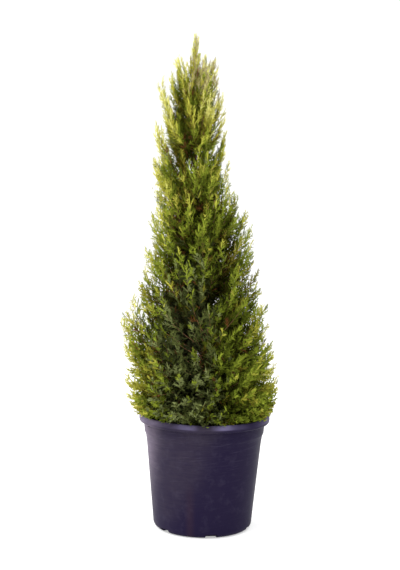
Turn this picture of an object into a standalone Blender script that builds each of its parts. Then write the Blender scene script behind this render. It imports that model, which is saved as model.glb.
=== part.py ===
# Potted cypress: a young upright conifer in a round black-violet nursery pot.
# Metres, +Z up. The origin is the middle of the pot's flat underside, -Y is the front.
# Every limb and foliage mass is worked out from the sizes below by the same seeded rule.

import functools
import math
import random

import bmesh
import bpy
import numpy as np
from mathutils import Matrix, Vector

# Pot: a blow-thin moulded tub with a rolled rim, a collar under it and a rounded foot
POT_HEIGHT = 0.261
RIM_RADIUS = 0.150
RIM_DEPTH = 0.017
RIM_SQUASH = 0.60
RIM_EDGE = 0.003
RIM_UNDERCUT = 0.0004
RIM_INNER_RADIUS = 0.1395
COLLAR_TOP_RADIUS = 0.1395
COLLAR_RADIUS = 0.1372
COLLAR_FOOT = 0.2165
COLLAR_STEP_ABOVE = 0.003
COLLAR_STEP_BELOW = 0.002
WALL_TOP_RADIUS = 0.1332
WALL_FOOT_RADIUS = 0.1145
WALL_FOOT_HEIGHT = 0.024
FOOT_ROUND = 0.013
WALL = 0.0026
FLOOR = 0.0030
FLOOR_ROUND = 0.002
POT_STEPS = 40
TURN_MERGE = 0.00001
DRAIN_SLOTS = 6
DRAIN_WIDTH = 0.026
DRAIN_HEIGHT = 0.0075
DRAIN_DEPTH = 0.022
DRAIN_TURN = 10.5

# Compost: fills the pot to just under the rim, a little higher in the middle
SOIL_EDGE = 0.219
SOIL_TOP = 0.226
SOIL_FLAT_RADIUS = 0.030
SOIL_SPREAD = 0.0004
SOIL_SLOPE_SHARE = 0.6
SOIL_SLOPE_DROP = 0.001

# Gap that neighbouring pieces keep
CLEAR = 0.0003
LEANING_CLEAR = 0.0004

# Trunk: height above the floor and sideways place of its middle, bottom to top
TRUNK_LINE = (
    (SOIL_TOP, 0.000, 0.000),
    (0.245, 0.000, 0.000),
    (0.420, -0.004, 0.004),
    (0.630, -0.018, -0.003),
    (0.770, -0.029, 0.002),
    (0.880, -0.037, 0.001),
    (1.000, -0.037, -0.001),
    (1.140, -0.038, 0.000),
)
TRUNK_TOP = 0.985
TRUNK_FOOT_RADIUS = 0.0105
TRUNK_TIP_RADIUS = 0.0026
FLARE_EXTRA = 0.0055
FLARE_HEIGHT = 0.018
TRUNK_RINGS = 15
RING_CROWDING = 1.6
TRUNK_BEVEL = 6

# Crown: by height, reach of the outermost tips and sideways place of its middle
CROWN_TOP = 1.124
CROWN = (
    (0.230, 0.120, 0.000),
    (0.262, 0.152, -0.002),
    (0.300, 0.172, -0.008),
    (0.357, 0.172, -0.009),
    (0.412, 0.168, -0.016),
    (0.467, 0.168, -0.024),
    (0.500, 0.157, -0.018),
    (0.551, 0.146, -0.014),
    (0.606, 0.132, -0.016),
    (0.661, 0.122, -0.018),
    (0.715, 0.111, -0.019),
    (0.770, 0.094, -0.028),
    (0.830, 0.092, -0.042),
    (0.905, 0.088, -0.041),
    (0.958, 0.074, -0.041),
    (1.012, 0.074, -0.044),
    (1.062, 0.047, -0.040),
    (1.085, 0.018, -0.038),
    (CROWN_TOP, 0.006, -0.038),
)

# Tiers of foliage masses, bottom to top: tip height, masses, first azimuth in degrees, rise from
# root to tip, the share of the reach that its boughs carry, 0 for none, its sprays' length and
# the share of its space that its dense core fills, 0 for an open mass
TIERS = (
    (0.312, 6, 24.0, 0.052, 0.42, 0.074, 0.72),
    (0.415, 6, 354.0, 0.116, 0.40, 0.086, 0.72),
    (0.508, 5, 198.0, 0.165, 0.38, 0.090, 0.72),
    (0.600, 5, 18.0, 0.165, 0.0, 0.090, 0.72),
    (0.700, 4, 180.0, 0.180, 0.0, 0.088, 0.72),
    (0.797, 4, 30.0, 0.175, 0.0, 0.084, 0.70),
    (0.905, 3, 180.0, 0.180, 0.0, 0.082, 0.68),
    (1.014, 3, 192.0, 0.160, 0.0, 0.074, 0.50),
    (1.066, 3, 160.0, 0.120, 0.0, 0.064, 0.0),
)
LEADER_SPRAY = 0.046

# Masses whose tips stand out past the rest, by number: turn in degrees, rise and extra reach
PROUD_MASSES = {
    1: (-18.0, 0.010, 0.006),
    13: (-16.0, -0.014, 0.022),
}
AZIMUTH_JITTER = 9.0
HEIGHT_JITTER = 0.010
REACH_JITTER = 0.005

# Boughs: one tapering limb from the trunk to its mass
BOUGH_ROOT_RADIUS = 0.0048
BOUGH_TIP_RADIUS = 0.0032
BOUGH_DROP = 0.035
BOUGH_LOWEST = 0.012
BOUGH_RINGS = 4
BOUGH_END = 0.006
BOUGH_OUT_SHARE = 0.5
BOUGH_IN_SHARE = 0.35
BOUGH_BEVEL = 1

# Foliage: a stem, the twigs of an open mass, the core of a dense one and the toothed sprays
STEM_ROOT_RADIUS = 0.0030
STEM_TIP_RADIUS = 0.0012
STEM_SHARE = 0.86
TWIG_RADIUS = 0.0016
TWIG_TIP_RADIUS = 0.0010
TWIG_SHARE = 0.28
TWIG_ANGLE_LOW = 74.0
TWIG_ANGLE_HIGH = 26.0
TWIG_TURN_JITTER = 14.0
FIRST_TWIG = 0.11
LAST_TWIG = 0.81
SHOOTS_OPEN = 8
SHOOTS_DENSE = 10
SHOOT_TOP = 0.86
SHOOT_FOOT = -0.27
SHOOT_TURN_JITTER = 10.0
SHOOT_INWARD = -0.25
SPRAY_OUTLINE = ((0.0, 0.0), (0.5, 0.60), (0.18, 0.52), (0.0, 1.0), (-0.18, 0.46), (-0.5, 0.54))
SPRAY_WIDTH = 0.56
SPRAY_THICK = 0.15
SPRAY_RIDGE = 0.40
SPRAY_TWIST = 80.0
SPRAY_SUNK = 0.10
SPRAY_ROOTED = 0.020
SPRAY_JOINT = 0.005
SPRAY_SIZES = (1.0, 0.85, 0.7, 0.55, 0.42)
SPRAY_BENDS = (0.15, 0.5, 0.9)
CORE_MIDDLE = 0.50
CORE_ROOT_SHARE = 0.95
CORE_ANGLES = (38.0, 76.0, 114.0, 150.0)
CORE_SIDES = 6
CORE_STEP = 0.003
CORE_MOST = 0.09
CORE_GAP = 0.003
CORE_SPOTS = 4
CORE_SHRINK = 0.9
SPACE_GAP = 0.0008
SOIL_GAP = 0.006
RIM_GAP = 0.003
WALL_GAP = 0.012
GOLDEN_ANGLE = 137.508
MERGE = 5e-7
SEED = 41

# Finishes: base colour in sRGB hex and roughness
FINISHES = {
    "pot_plastic": ("332b45", 0.42),
    "compost": ("2e2119", 0.95),
    "bark": ("6d4a36", 0.85),
    "foliage_low": ("3f4a22", 0.70),
    "foliage_mid": ("5c6b22", 0.70),
    "foliage_top": ("87902f", 0.70),
}


def clear_scene():
    for obj in list(bpy.data.objects):
        bpy.data.objects.remove(obj, do_unlink=True)


def new_collection(name):
    collection = bpy.data.collections.new(name)
    bpy.context.scene.collection.children.link(collection)
    return collection


def to_linear(hex_colour):
    values = [int(hex_colour[i : i + 2], 16) / 255 for i in (0, 2, 4)]
    return [v / 12.92 if v <= 0.04045 else ((v + 0.055) / 1.055) ** 2.4 for v in values]


def new_material(name):
    colour, roughness = FINISHES[name]
    material = bpy.data.materials.new(name)
    material.use_nodes = True
    shader = material.node_tree.nodes["Principled BSDF"]
    shader.inputs["Base Color"].default_value = (*to_linear(colour), 1.0)
    shader.inputs["Roughness"].default_value = roughness
    shader.inputs["Metallic"].default_value = 0.0
    material.diffuse_color = (*to_linear(colour), 1.0)
    return material


def new_object(name, data, collection, material=None):
    obj = bpy.data.objects.new(name, data)
    collection.objects.link(obj)
    if material:
        data.materials.append(material)
    return obj


def mesh_from(name, bm):
    mesh = bpy.data.meshes.new(name)
    bm.to_mesh(mesh)
    bm.free()
    return mesh


def turned(name, profile, collection, material):
    """A profile of (radius, height) turned about Z, from the outer top down."""
    bm = bmesh.new()
    points = [bm.verts.new((radius, 0.0, height)) for radius, height in profile]
    for low, high in zip(points, points[1:]):
        bm.edges.new((low, high))
    obj = new_object(name, mesh_from(name, bm), collection, material)
    screw = obj.modifiers.new("turn", "SCREW")
    screw.steps = POT_STEPS
    screw.render_steps = POT_STEPS
    screw.use_merge_vertices = True
    screw.merge_threshold = TURN_MERGE
    screw.use_smooth_shade = True
    return obj


def arc(centre, radius, start, end, steps):
    """Points on an arc in the profile's plane, from start to end in degrees."""
    angles = [math.radians(start + (end - start) * i / steps) for i in range(steps + 1)]
    return [(centre[0] + radius * math.cos(a), centre[1] + radius * math.sin(a)) for a in angles]


def wall_radius(height):
    """Outer radius of the pot's plain wall."""
    share = (height - WALL_FOOT_HEIGHT) / (COLLAR_FOOT - WALL_FOOT_HEIGHT)
    return WALL_FOOT_RADIUS + (WALL_TOP_RADIUS - WALL_FOOT_RADIUS) * share


def pot_profile():
    bead = RIM_DEPTH / 2
    bead_centre = (RIM_RADIUS - bead * RIM_SQUASH, POT_HEIGHT - bead)
    roll = [
        (bead_centre[0] + RIM_SQUASH * (radius - bead_centre[0]), height)
        for radius, height in arc(bead_centre, bead, 90, -90, 6)
    ]
    foot_centre = (wall_radius(FOOT_ROUND) - FOOT_ROUND, FOOT_ROUND)
    foot = arc(foot_centre, FOOT_ROUND, 0, -90, 3)
    outer = roll + [
        (COLLAR_TOP_RADIUS, POT_HEIGHT - RIM_DEPTH - RIM_UNDERCUT),
        (COLLAR_RADIUS, COLLAR_FOOT + COLLAR_STEP_ABOVE),
        (WALL_TOP_RADIUS, COLLAR_FOOT - COLLAR_STEP_BELOW),
    ]
    inner = [
        (0.0, FLOOR),
        (foot_centre[0], FLOOR),
        (wall_radius(FOOT_ROUND) - WALL, FOOT_ROUND + FLOOR_ROUND),
        (wall_radius(COLLAR_FOOT) - WALL, COLLAR_FOOT),
        (RIM_INNER_RADIUS - WALL, POT_HEIGHT - RIM_DEPTH),
        (RIM_INNER_RADIUS, POT_HEIGHT - RIM_EDGE),
    ]
    return outer + foot + [(0.0, 0.0)] + inner + [roll[0]]


def build_pot(parts, cutters, material):
    pot = turned("pot", pot_profile(), parts, material)
    reach = wall_radius(FOOT_ROUND)
    for index in range(DRAIN_SLOTS):
        bpy.ops.mesh.primitive_cube_add(size=1)
        cutter = bpy.context.object
        cutter.name = f"drain_cutter_{index + 1}"
        cutter.scale = (2 * DRAIN_DEPTH, DRAIN_WIDTH, 2 * DRAIN_HEIGHT)
        turn = math.radians(DRAIN_TURN + 360 * index / DRAIN_SLOTS - 90)
        cutter.rotation_euler = (0, 0, turn)
        cutter.location = (reach * math.cos(turn), reach * math.sin(turn), 0)
        cutter.hide_render = True
        cutter.display_type = "WIRE"
        for owner in list(cutter.users_collection):
            owner.objects.unlink(cutter)
        cutters.objects.link(cutter)
        slot = pot.modifiers.new(f"drain_{index + 1}", "BOOLEAN")
        slot.operation = "DIFFERENCE"
        slot.object = cutter
    return pot


def soil_profile():
    inside = WALL + 2 * CLEAR
    collar = (wall_radius(COLLAR_FOOT) - inside, COLLAR_FOOT - CLEAR)
    edge = (collar[0] + SOIL_SPREAD, SOIL_EDGE)
    foot_radius = wall_radius(FOOT_ROUND) - inside
    return [
        edge,
        collar,
        (foot_radius, FOOT_ROUND + FLOOR_ROUND + 2 * CLEAR),
        (foot_radius - FOOT_ROUND, FLOOR + CLEAR),
        (0.0, FLOOR + CLEAR),
        (0.0, SOIL_TOP),
        (SOIL_FLAT_RADIUS, SOIL_TOP),
        (SOIL_SLOPE_SHARE * edge[0], SOIL_TOP - SOIL_SLOPE_DROP),
        edge,
    ]


@functools.cache
def trunk_rings():
    """The trunk's rings as (height, across, along, radius), closer together at the flare."""
    foot = SOIL_TOP + CLEAR
    heights, across, along = zip(*TRUNK_LINE)
    rings = []
    for i in range(TRUNK_RINGS):
        share = (i / (TRUNK_RINGS - 1)) ** RING_CROWDING
        height = foot + (TRUNK_TOP - foot) * share
        taper = TRUNK_FOOT_RADIUS + (TRUNK_TIP_RADIUS - TRUNK_FOOT_RADIUS) * share
        flare = FLARE_EXTRA * math.exp((foot - height) / FLARE_HEIGHT)
        place = [float(np.interp(height, heights, sideways)) for sideways in (across, along)]
        rings.append((height, *place, taper + flare))
    return rings


def trunk_centre(height):
    heights, across, along, _ = zip(*trunk_rings())
    return Vector((np.interp(height, heights, across), np.interp(height, heights, along), height))


def trunk_radius(height):
    heights, _, _, radii = zip(*trunk_rings())
    return float(np.interp(height, heights, radii))


def crown_reach(height):
    heights, reaches, _ = zip(*CROWN)
    return float(np.interp(height, heights, reaches))


def crown_centre(height):
    heights, _, across = zip(*CROWN)
    return Vector((np.interp(height, heights, across), 0.0, height))


def tube(name, points, radii, bevel, collection, material):
    """A round limb along points, with its own radius at each."""
    curve = bpy.data.curves.new(name, "CURVE")
    curve.dimensions = "3D"
    curve.bevel_depth = 1.0
    curve.bevel_resolution = bevel
    curve.use_fill_caps = True
    spline = curve.splines.new("POLY")
    spline.points.add(len(points) - 1)
    for point, place, radius in zip(spline.points, points, radii):
        point.co = (*place, 1.0)
        point.radius = radius
    return new_object(name, curve, collection, material)


def build_trunk(parts, material):
    rings = trunk_rings()
    points = [(across, along, height) for height, across, along, _ in rings]
    return tube("trunk", points, [ring[3] for ring in rings], TRUNK_BEVEL, parts, material)


def closest_points(a, b, c, d):
    """The nearest points of the segments a-b and c-d."""
    along, across, between = b - a, d - c, a - c
    aa, bb, ab = along.dot(along), across.dot(across), along.dot(across)
    ac, bc = along.dot(between), across.dot(between)
    spread = aa * bb - ab * ab
    s = min(max((ab * bc - ac * bb) / spread, 0.0), 1.0) if spread > 1e-12 else 0.0
    t = (ab * s + bc) / bb
    if not 0.0 <= t <= 1.0:
        t = min(max(t, 0.0), 1.0)
        s = min(max((ab * t - ac) / aa, 0.0), 1.0)
    return a + along * s, c + across * t


def plan_masses():
    """Each mass's stem line, from its bough's tip or the trunk to its own furthest tip."""
    rng = random.Random(SEED)
    masses = []
    for tier, (height, count, first, rise, bough_share, spray, core) in enumerate(TIERS):
        for index in range(count):
            turn, lift, proud = PROUD_MASSES.get(len(masses) + 1, (0.0, 0.0, 0.0))
            azimuth = first + 360 * index / count + rng.uniform(-1, 1) * AZIMUTH_JITTER
            azimuth = math.radians(azimuth + turn)
            out = Vector((math.cos(azimuth), math.sin(azimuth), 0))
            tip_height = height + rng.uniform(-1, 1) * HEIGHT_JITTER + lift
            reach = crown_reach(tip_height) - rng.uniform(0, 1) * REACH_JITTER + proud
            tip = crown_centre(tip_height) + out * reach
            root_height = tip_height - rise
            if bough_share:
                root = trunk_centre(root_height) + out * reach * bough_share
            else:
                steep = rise / math.hypot(rise, reach)
                stand_off = trunk_radius(root_height) + LEANING_CLEAR + STEM_ROOT_RADIUS * steep
                root = trunk_centre(root_height) + out * stand_off
            line = {"root": root, "tip": tip, "out": out, "proud": proud}
            masses.append({**line, "tier": tier, "bough": bool(bough_share), "spray": spray, "core": core})
    top_root = trunk_centre(TRUNK_TOP) + Vector((0, 0, CLEAR))
    line = {"root": top_root, "tip": crown_centre(CROWN_TOP), "out": Vector((1, 0, 0)), "proud": 0.0}
    masses.append({**line, "tier": len(TIERS), "bough": False, "spray": LEADER_SPRAY, "core": 0.0})
    return masses


def plan_bough(mass):
    """Points and radii of the limb that carries a mass, straight out of the trunk and then upwards."""
    towards = (mass["tip"] - mass["root"]).normalized()
    end = mass["root"] - towards * (CLEAR + BOUGH_END)
    start_height = max(end.z - BOUGH_DROP, SOIL_TOP + BOUGH_LOWEST)
    stand_off = trunk_radius(start_height - BOUGH_ROOT_RADIUS) + LEANING_CLEAR
    start = trunk_centre(start_height) + mass["out"] * stand_off
    collar = start + mass["out"] * BOUGH_ROOT_RADIUS
    handle_out = collar + mass["out"] * BOUGH_OUT_SHARE * (end - start).length
    handle_in = end - towards * BOUGH_IN_SHARE * (end - start).length
    points = [start]
    for i in range(BOUGH_RINGS):
        s = i / (BOUGH_RINGS - 1)
        points.append(
            collar * (1 - s) ** 3
            + handle_out * 3 * s * (1 - s) ** 2
            + handle_in * 3 * s**2 * (1 - s)
            + end * s**3
        )
    points.append(mass["root"] - towards * CLEAR)
    step = (BOUGH_TIP_RADIUS - BOUGH_ROOT_RADIUS) / (len(points) - 1)
    return points, [BOUGH_ROOT_RADIUS + step * i for i in range(len(points))]


def limb_segments(masses):
    """Trunk and boughs as (start, end, radius) for the clearance test."""
    rings = [(Vector((across, along, height)), radius) for height, across, along, radius in trunk_rings()]
    segments = [(low, high, radius) for (low, radius), (high, _) in zip(rings, rings[1:])]
    for mass in masses:
        if mass["bough"]:
            points, radii = plan_bough(mass)
            segments += list(zip(points, points[1:], radii))
    return segments


def space_of(mass, masses):
    """The planes, as (point, normal), that keep a mass apart from every other."""
    planes = []
    for other in masses:
        if other is not mass:
            near, far = closest_points(mass["root"], mass["tip"], other["root"], other["tip"])
            planes.append(((near + far) / 2, (far - near).normalized()))
    return planes


class Space:
    """What a twig or spray of one mass has to stay within."""

    def __init__(self, mass, masses, limbs):
        self.planes = space_of(mass, masses)
        self.proud = mass["proud"]
        self.limbs = limbs

    def holds(self, point):
        if any((point - place).dot(normal) > -SPACE_GAP for place, normal in self.planes):
            return False
        centre = crown_centre(point.z)
        if math.hypot(point.x - centre.x, point.y - centre.y) > crown_reach(point.z) + self.proud:
            return False
        if point.z > CROWN_TOP + SPACE_GAP:
            return False
        inside_rim = math.hypot(point.x, point.y) < wall_radius(COLLAR_FOOT) - WALL_GAP
        return point.z > (SOIL_TOP + SOIL_GAP if inside_rim else POT_HEIGHT + RIM_GAP)

    def clear(self, start, end, radius):
        for low, high, limb_radius in self.limbs:
            near, far = closest_points(start, end, low, high)
            if (near - far).length < limb_radius + radius + SPACE_GAP:
                return False
        return True

    def free(self, point, gap):
        """Whether a point keeps this gap from every limb."""
        for low, high, limb_radius in self.limbs:
            share = (point - low).dot(high - low) / (high - low).length_squared
            near = low.lerp(high, min(max(share, 0.0), 1.0))
            if (point - near).length < limb_radius + gap:
                return False
        return True

    def reach(self, centre, direction, gap):
        """How far a core can grow from its centre in one direction."""
        far = 0.0
        while far < CORE_MOST:
            point = centre + direction * (far + CORE_STEP)
            if not self.holds(point) or not self.free(point, gap):
                break
            far += CORE_STEP
        return far


def frame_along(direction, facing):
    """A turn whose Z runs along direction and whose Y turns towards facing."""
    across = facing.cross(direction).normalized()
    return Matrix((across, direction.cross(across), direction)).transposed()


def any_side(direction):
    """A facing that is never along the direction."""
    return Vector((1, 0, 0)) if abs(direction.x) < abs(direction.y) else Vector((0, 1, 0))


def stick(start, end, root_radius, tip_radius, edge_side):
    """A three-sided tapering twig with one edge turned to a side."""
    bm = bmesh.new()
    depth = (end - start).length
    bmesh.ops.create_cone(
        bm, cap_ends=True, segments=3, radius1=root_radius, radius2=tip_radius, depth=depth
    )
    direction = (end - start) / depth
    turn = frame_along(direction, edge_side).to_4x4()
    bmesh.ops.transform(bm, matrix=Matrix.Translation((start + end) / 2) @ turn, verts=bm.verts)
    return mesh_from("twig", bm)


def spray_corners(spray):
    """The six corners of a toothed blade and the two ridges over and under its middle."""
    root, run = spray["root"], spray["tip"] - spray["root"]
    length = run.length
    turn = frame_along(run / length, spray["facing"])
    width, ridge = length * SPRAY_WIDTH, length * SPRAY_THICK / 2
    corners = [root + turn @ Vector((across * width, 0, along * length)) for across, along in SPRAY_OUTLINE]
    peaks = [root + turn @ Vector((0, side * ridge, SPRAY_RIDGE * length)) for side in (1, -1)]
    return corners, peaks


def blade(spray):
    """A flat toothed spray of scale leaves, closed by a low ridge on both faces."""
    corners, peaks = spray_corners(spray)
    bm = bmesh.new()
    rim = [bm.verts.new(corner) for corner in corners]
    for peak in peaks:
        top = bm.verts.new(peak)
        for a, b in zip(rim, rim[1:] + rim[:1]):
            bm.faces.new((a, b, top))
    bmesh.ops.recalc_face_normals(bm, faces=bm.faces)
    return mesh_from("spray", bm)


def core_mesh(mass, space, share):
    """The dense inside of a mass: its own space, drawn in from every side."""
    root, tip = mass["root"], mass["tip"]
    centre = root.lerp(tip, CORE_MIDDLE)
    axis = (tip - root).normalized()
    frame = frame_along(axis, any_side(axis))
    bm = bmesh.new()

    def corner(angle, around):
        wide, turn = math.sin(math.radians(angle)), 2 * math.pi * around
        local = Vector((wide * math.cos(turn), wide * math.sin(turn), math.cos(math.radians(angle))))
        direction = frame @ local
        filled = share + (CORE_ROOT_SHARE - share) * angle / 180
        return bm.verts.new(centre + direction * filled * space.reach(centre, direction, CORE_GAP))

    rings = []
    for number, angle in enumerate(CORE_ANGLES):
        rings.append([corner(angle, (i + 0.5 * (number % 2)) / CORE_SIDES) for i in range(CORE_SIDES)])
    for pole, ring in ((corner(0, 0), rings[0]), (corner(180, 0), rings[-1])):
        for a, b in zip(ring, ring[1:] + ring[:1]):
            bm.faces.new((a, b, pole))
    for number, (upper, lower) in enumerate(zip(rings, rings[1:])):
        shift = number % 2
        for i in range(CORE_SIDES):
            after = (i + 1) % CORE_SIDES
            apex = lower[i] if not shift else lower[after]
            bm.faces.new((upper[i], upper[after], apex))
            low_pair = (lower[i - 1], lower[i]) if not shift else (lower[i], lower[after])
            bm.faces.new((*low_pair, upper[i]))
    bmesh.ops.recalc_face_normals(bm, faces=bm.faces)
    return mesh_from("core", bm)


def fit_spray(at, direction, size, axis, space, rng):
    """A spray from a point on a twig, bent upwards or shortened until it fits, or None."""
    centre = trunk_centre(at.z)
    outward = Vector((at.x - centre.x, at.y - centre.y, 0)).normalized()
    twist = math.radians(SPRAY_TWIST) * rng.uniform(-1, 1)
    facing = Matrix.Rotation(twist, 3, "Z") @ outward
    rising = (axis + Vector((0, 0, 1))).normalized()
    for share in SPRAY_SIZES:
        for bend in SPRAY_BENDS:
            aim = direction.lerp(rising, bend).normalized()
            length = size * share
            spray = {"root": at - aim * SPRAY_SUNK * length, "tip": at + aim * length, "facing": facing}
            corners, peaks = spray_corners(spray)
            wide = length * SPRAY_WIDTH / 2
            if all(map(space.holds, corners + peaks)) and space.clear(spray["root"], spray["tip"], wide):
                return spray
    return None


def grow_open(mass, space, seed):
    """Twigs as (start, end) and sprays of an open mass, branching from its stem."""
    rng = random.Random(seed)
    root, tip, size = mass["root"], mass["tip"], mass["spray"]
    length = (tip - root).length
    axis = (tip - root) / length
    frame = frame_along(axis, any_side(axis))
    twigs, sprays = [], []
    for k in range(SHOOTS_OPEN):
        at_share = FIRST_TWIG + (LAST_TWIG - FIRST_TWIG) * k / (SHOOTS_OPEN - 1)
        around = math.radians(k * GOLDEN_ANGLE + rng.uniform(-1, 1) * TWIG_TURN_JITTER)
        angle = math.radians(TWIG_ANGLE_LOW + (TWIG_ANGLE_HIGH - TWIG_ANGLE_LOW) * at_share)
        side = frame @ Vector((math.cos(around), math.sin(around), 0))
        direction = (axis * math.cos(angle) + side * math.sin(angle)).normalized()
        start = root + axis * length * at_share
        end = start + direction * size * TWIG_SHARE
        if space.holds(end) and space.clear(start, end, TWIG_RADIUS):
            spray = fit_spray(end - direction * SPRAY_JOINT, direction, size, axis, space, rng)
            if spray:
                twigs.append((start, end))
                sprays.append(spray)
    foot = root.lerp(tip, STEM_SHARE) - axis * SPRAY_JOINT
    sprays.append(fit_spray(foot, axis, (tip - foot).length, axis, space, rng))
    return twigs, [spray for spray in sprays if spray]


def grow_dense(mass, space, share, seed):
    """Sprays of a dense mass, standing out of its core all round and turned upwards."""
    rng = random.Random(seed)
    root, tip, size = mass["root"], mass["tip"], mass["spray"]
    axis = (tip - root).normalized()
    centre = root.lerp(tip, CORE_MIDDLE)
    frame = frame_along(axis, any_side(axis))
    foot = centre + axis * (share * space.reach(centre, axis, CORE_GAP) - SPRAY_ROOTED)
    sprays = [fit_spray(foot, axis, size, axis, space, rng)]
    for k in range(SHOOTS_DENSE):
        along = SHOOT_TOP + (SHOOT_FOOT - SHOOT_TOP) * k / (SHOOTS_DENSE - 1)
        around = math.radians(k * GOLDEN_ANGLE + rng.uniform(-1, 1) * SHOOT_TURN_JITTER)
        wide = math.sqrt(1 - along**2)
        direction = frame @ Vector((math.cos(around) * wide, math.sin(around) * wide, along))
        if direction.dot(mass["out"]) < SHOOT_INWARD:
            continue
        start = centre + direction * (share * space.reach(centre, direction, CORE_GAP) - SPRAY_ROOTED)
        sprays.append(fit_spray(start, direction, size, axis, space, rng))
    return [spray for spray in sprays if spray]


def union_mesh(obj, pieces, solver):
    """The mesh of one Boolean union of an object with a collection of pieces."""
    helper = bpy.data.collections.new("fusing")
    bpy.context.scene.collection.children.link(helper)
    for piece in pieces:
        helper.objects.link(bpy.data.objects.new("piece", piece))
    union = obj.modifiers.new("fuse", "BOOLEAN")
    union.operation = "UNION"
    union.operand_type = "COLLECTION"
    union.collection = helper
    union.solver = solver
    bpy.context.view_layer.update()
    evaluated = obj.evaluated_get(bpy.context.evaluated_depsgraph_get())
    mesh = bpy.data.meshes.new_from_object(evaluated)
    obj.modifiers.clear()
    for piece in list(helper.objects):
        bpy.data.objects.remove(piece, do_unlink=True)
    bpy.data.collections.remove(helper)
    return mesh


def shells_of(bm):
    """The faces of each connected skin."""
    left, shells = set(bm.faces), []
    while left:
        shell = [left.pop()]
        for face in shell:
            for edge in face.edges:
                near = left.intersection(edge.link_faces)
                left -= near
                shell += near
        shells.append(shell)
    return shells


def outer_skin(mesh):
    """Keeps the largest skin, so hollows are filled and scraps dropped, and tells if it is closed."""
    bm = bmesh.new()
    bm.from_mesh(mesh)
    bmesh.ops.triangulate(bm, faces=bm.faces)
    bmesh.ops.dissolve_degenerate(bm, edges=bm.edges, dist=MERGE)
    shells = sorted(shells_of(bm), key=len)
    scraps = [face for shell in shells[:-1] for face in shell]
    bmesh.ops.delete(bm, geom=scraps, context="FACES")
    bmesh.ops.triangulate(bm, faces=bm.faces)
    places = {vertex: tuple(round(c / MERGE) for c in vertex.co) for vertex in bm.verts}
    closed = all(len(edge.link_faces) == 2 for edge in bm.edges)
    apart = len(set(places.values())) == len(places)
    bm.to_mesh(mesh)
    bm.free()
    return closed and apart


def fused(name, base, pieces, collection, material):
    """One closed mesh from a base and the pieces that stand in it, with fewer pieces if it fails."""
    obj = new_object(name, base, collection, material)
    while pieces:
        for solver in ("EXACT", "MANIFOLD"):
            mesh = union_mesh(obj, pieces, solver)
            if outer_skin(mesh):
                obj.data = mesh
                return obj
        pieces = pieces[:-1]
    return obj


def core_clear(core, space):
    """Whether every face of a core keeps off the limbs."""
    for face in core.polygons:
        a, b, c = (core.vertices[i].co for i in face.vertices)
        for i in range(CORE_SPOTS + 1):
            for j in range(CORE_SPOTS + 1 - i):
                spot = a + (b - a) * i / CORE_SPOTS + (c - a) * j / CORE_SPOTS
                if not space.free(spot, SPACE_GAP):
                    return False
    return True


def fit_core(mass, space):
    """The largest core of a dense mass that keeps off the limbs, or None."""
    share = mass["core"]
    while share > mass["core"] / 2:
        core = core_mesh(mass, space, share)
        if core_clear(core, space):
            return core, share
        share *= CORE_SHRINK
    return None, 0.0


def build_mass(name, mass, masses, limbs, seed, collection, material):
    space = Space(mass, masses, limbs)
    core, share = fit_core(mass, space)
    twigs, sprays = ([], grow_dense(mass, space, share, seed)) if core else grow_open(mass, space, seed)
    stem_end = mass["root"].lerp(mass["tip"], CORE_MIDDLE if core else STEM_SHARE)
    base = stick(mass["root"], stem_end, STEM_ROOT_RADIUS, STEM_TIP_RADIUS, -mass["out"])
    pieces = [core] if core else []
    pieces += [blade(spray) for spray in sprays]
    pieces += [
        stick(start, end, TWIG_RADIUS, TWIG_TIP_RADIUS, any_side(end - start)) for start, end in twigs
    ]
    return fused(name, base, pieces, collection, material)


def main():
    clear_scene()
    parts = new_collection("potted_cypress")
    cutters = new_collection("cutters")
    materials = {name: new_material(name) for name in FINISHES}

    build_pot(parts, cutters, materials["pot_plastic"])
    turned("soil", soil_profile(), parts, materials["compost"])
    build_trunk(parts, materials["bark"])

    masses = plan_masses()
    limbs = limb_segments(masses)
    for number, mass in enumerate((m for m in masses if m["bough"]), 1):
        points, radii = plan_bough(mass)
        tube(f"bough_{number:02d}", points, radii, BOUGH_BEVEL, parts, materials["bark"])

    for number, mass in enumerate(masses, 1):
        tone = ("foliage_low", "foliage_mid", "foliage_top")[min(mass["tier"] // 3, 2)]
        name = "leader" if mass is masses[-1] else f"mass_{number:02d}"
        build_mass(name, mass, masses, limbs, SEED + number, parts, materials[tone])


main()
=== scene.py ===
# Potted cypress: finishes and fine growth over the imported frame. Metres, +Z up, the front is -Y.
# The foliage grows on from the same limbs and by the same plan as the solids.

import math
import random

import bpy
import numpy as np
from mathutils import Matrix, Vector, noise


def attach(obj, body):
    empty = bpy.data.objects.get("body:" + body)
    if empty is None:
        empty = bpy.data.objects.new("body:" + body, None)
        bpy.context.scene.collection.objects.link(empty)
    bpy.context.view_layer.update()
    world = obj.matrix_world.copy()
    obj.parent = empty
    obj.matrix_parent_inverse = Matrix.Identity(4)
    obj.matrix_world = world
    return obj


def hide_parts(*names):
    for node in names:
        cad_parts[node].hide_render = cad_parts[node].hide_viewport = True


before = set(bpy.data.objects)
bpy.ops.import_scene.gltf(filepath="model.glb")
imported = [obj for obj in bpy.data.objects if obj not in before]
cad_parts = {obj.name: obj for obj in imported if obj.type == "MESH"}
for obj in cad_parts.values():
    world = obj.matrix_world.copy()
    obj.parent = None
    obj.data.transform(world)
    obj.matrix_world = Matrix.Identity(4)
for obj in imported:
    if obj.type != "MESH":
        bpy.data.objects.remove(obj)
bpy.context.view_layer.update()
up = np.array((0.0, 0.0, 1.0))
goldenAngle = math.radians(137.508)
threeTurns = (0.0, 2.0944, 4.1888)  # the corners of a three-sided cord or twig


# Small tools

def toLinear(hexColour, strength=1.0):
    values = [int(hexColour[i : i + 2], 16) / 255 for i in (0, 2, 4)]
    linear = [v / 12.92 if v <= 0.04045 else ((v + 0.055) / 1.055) ** 2.4 for v in values]
    return (*(strength * value for value in linear), 1.0)


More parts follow.
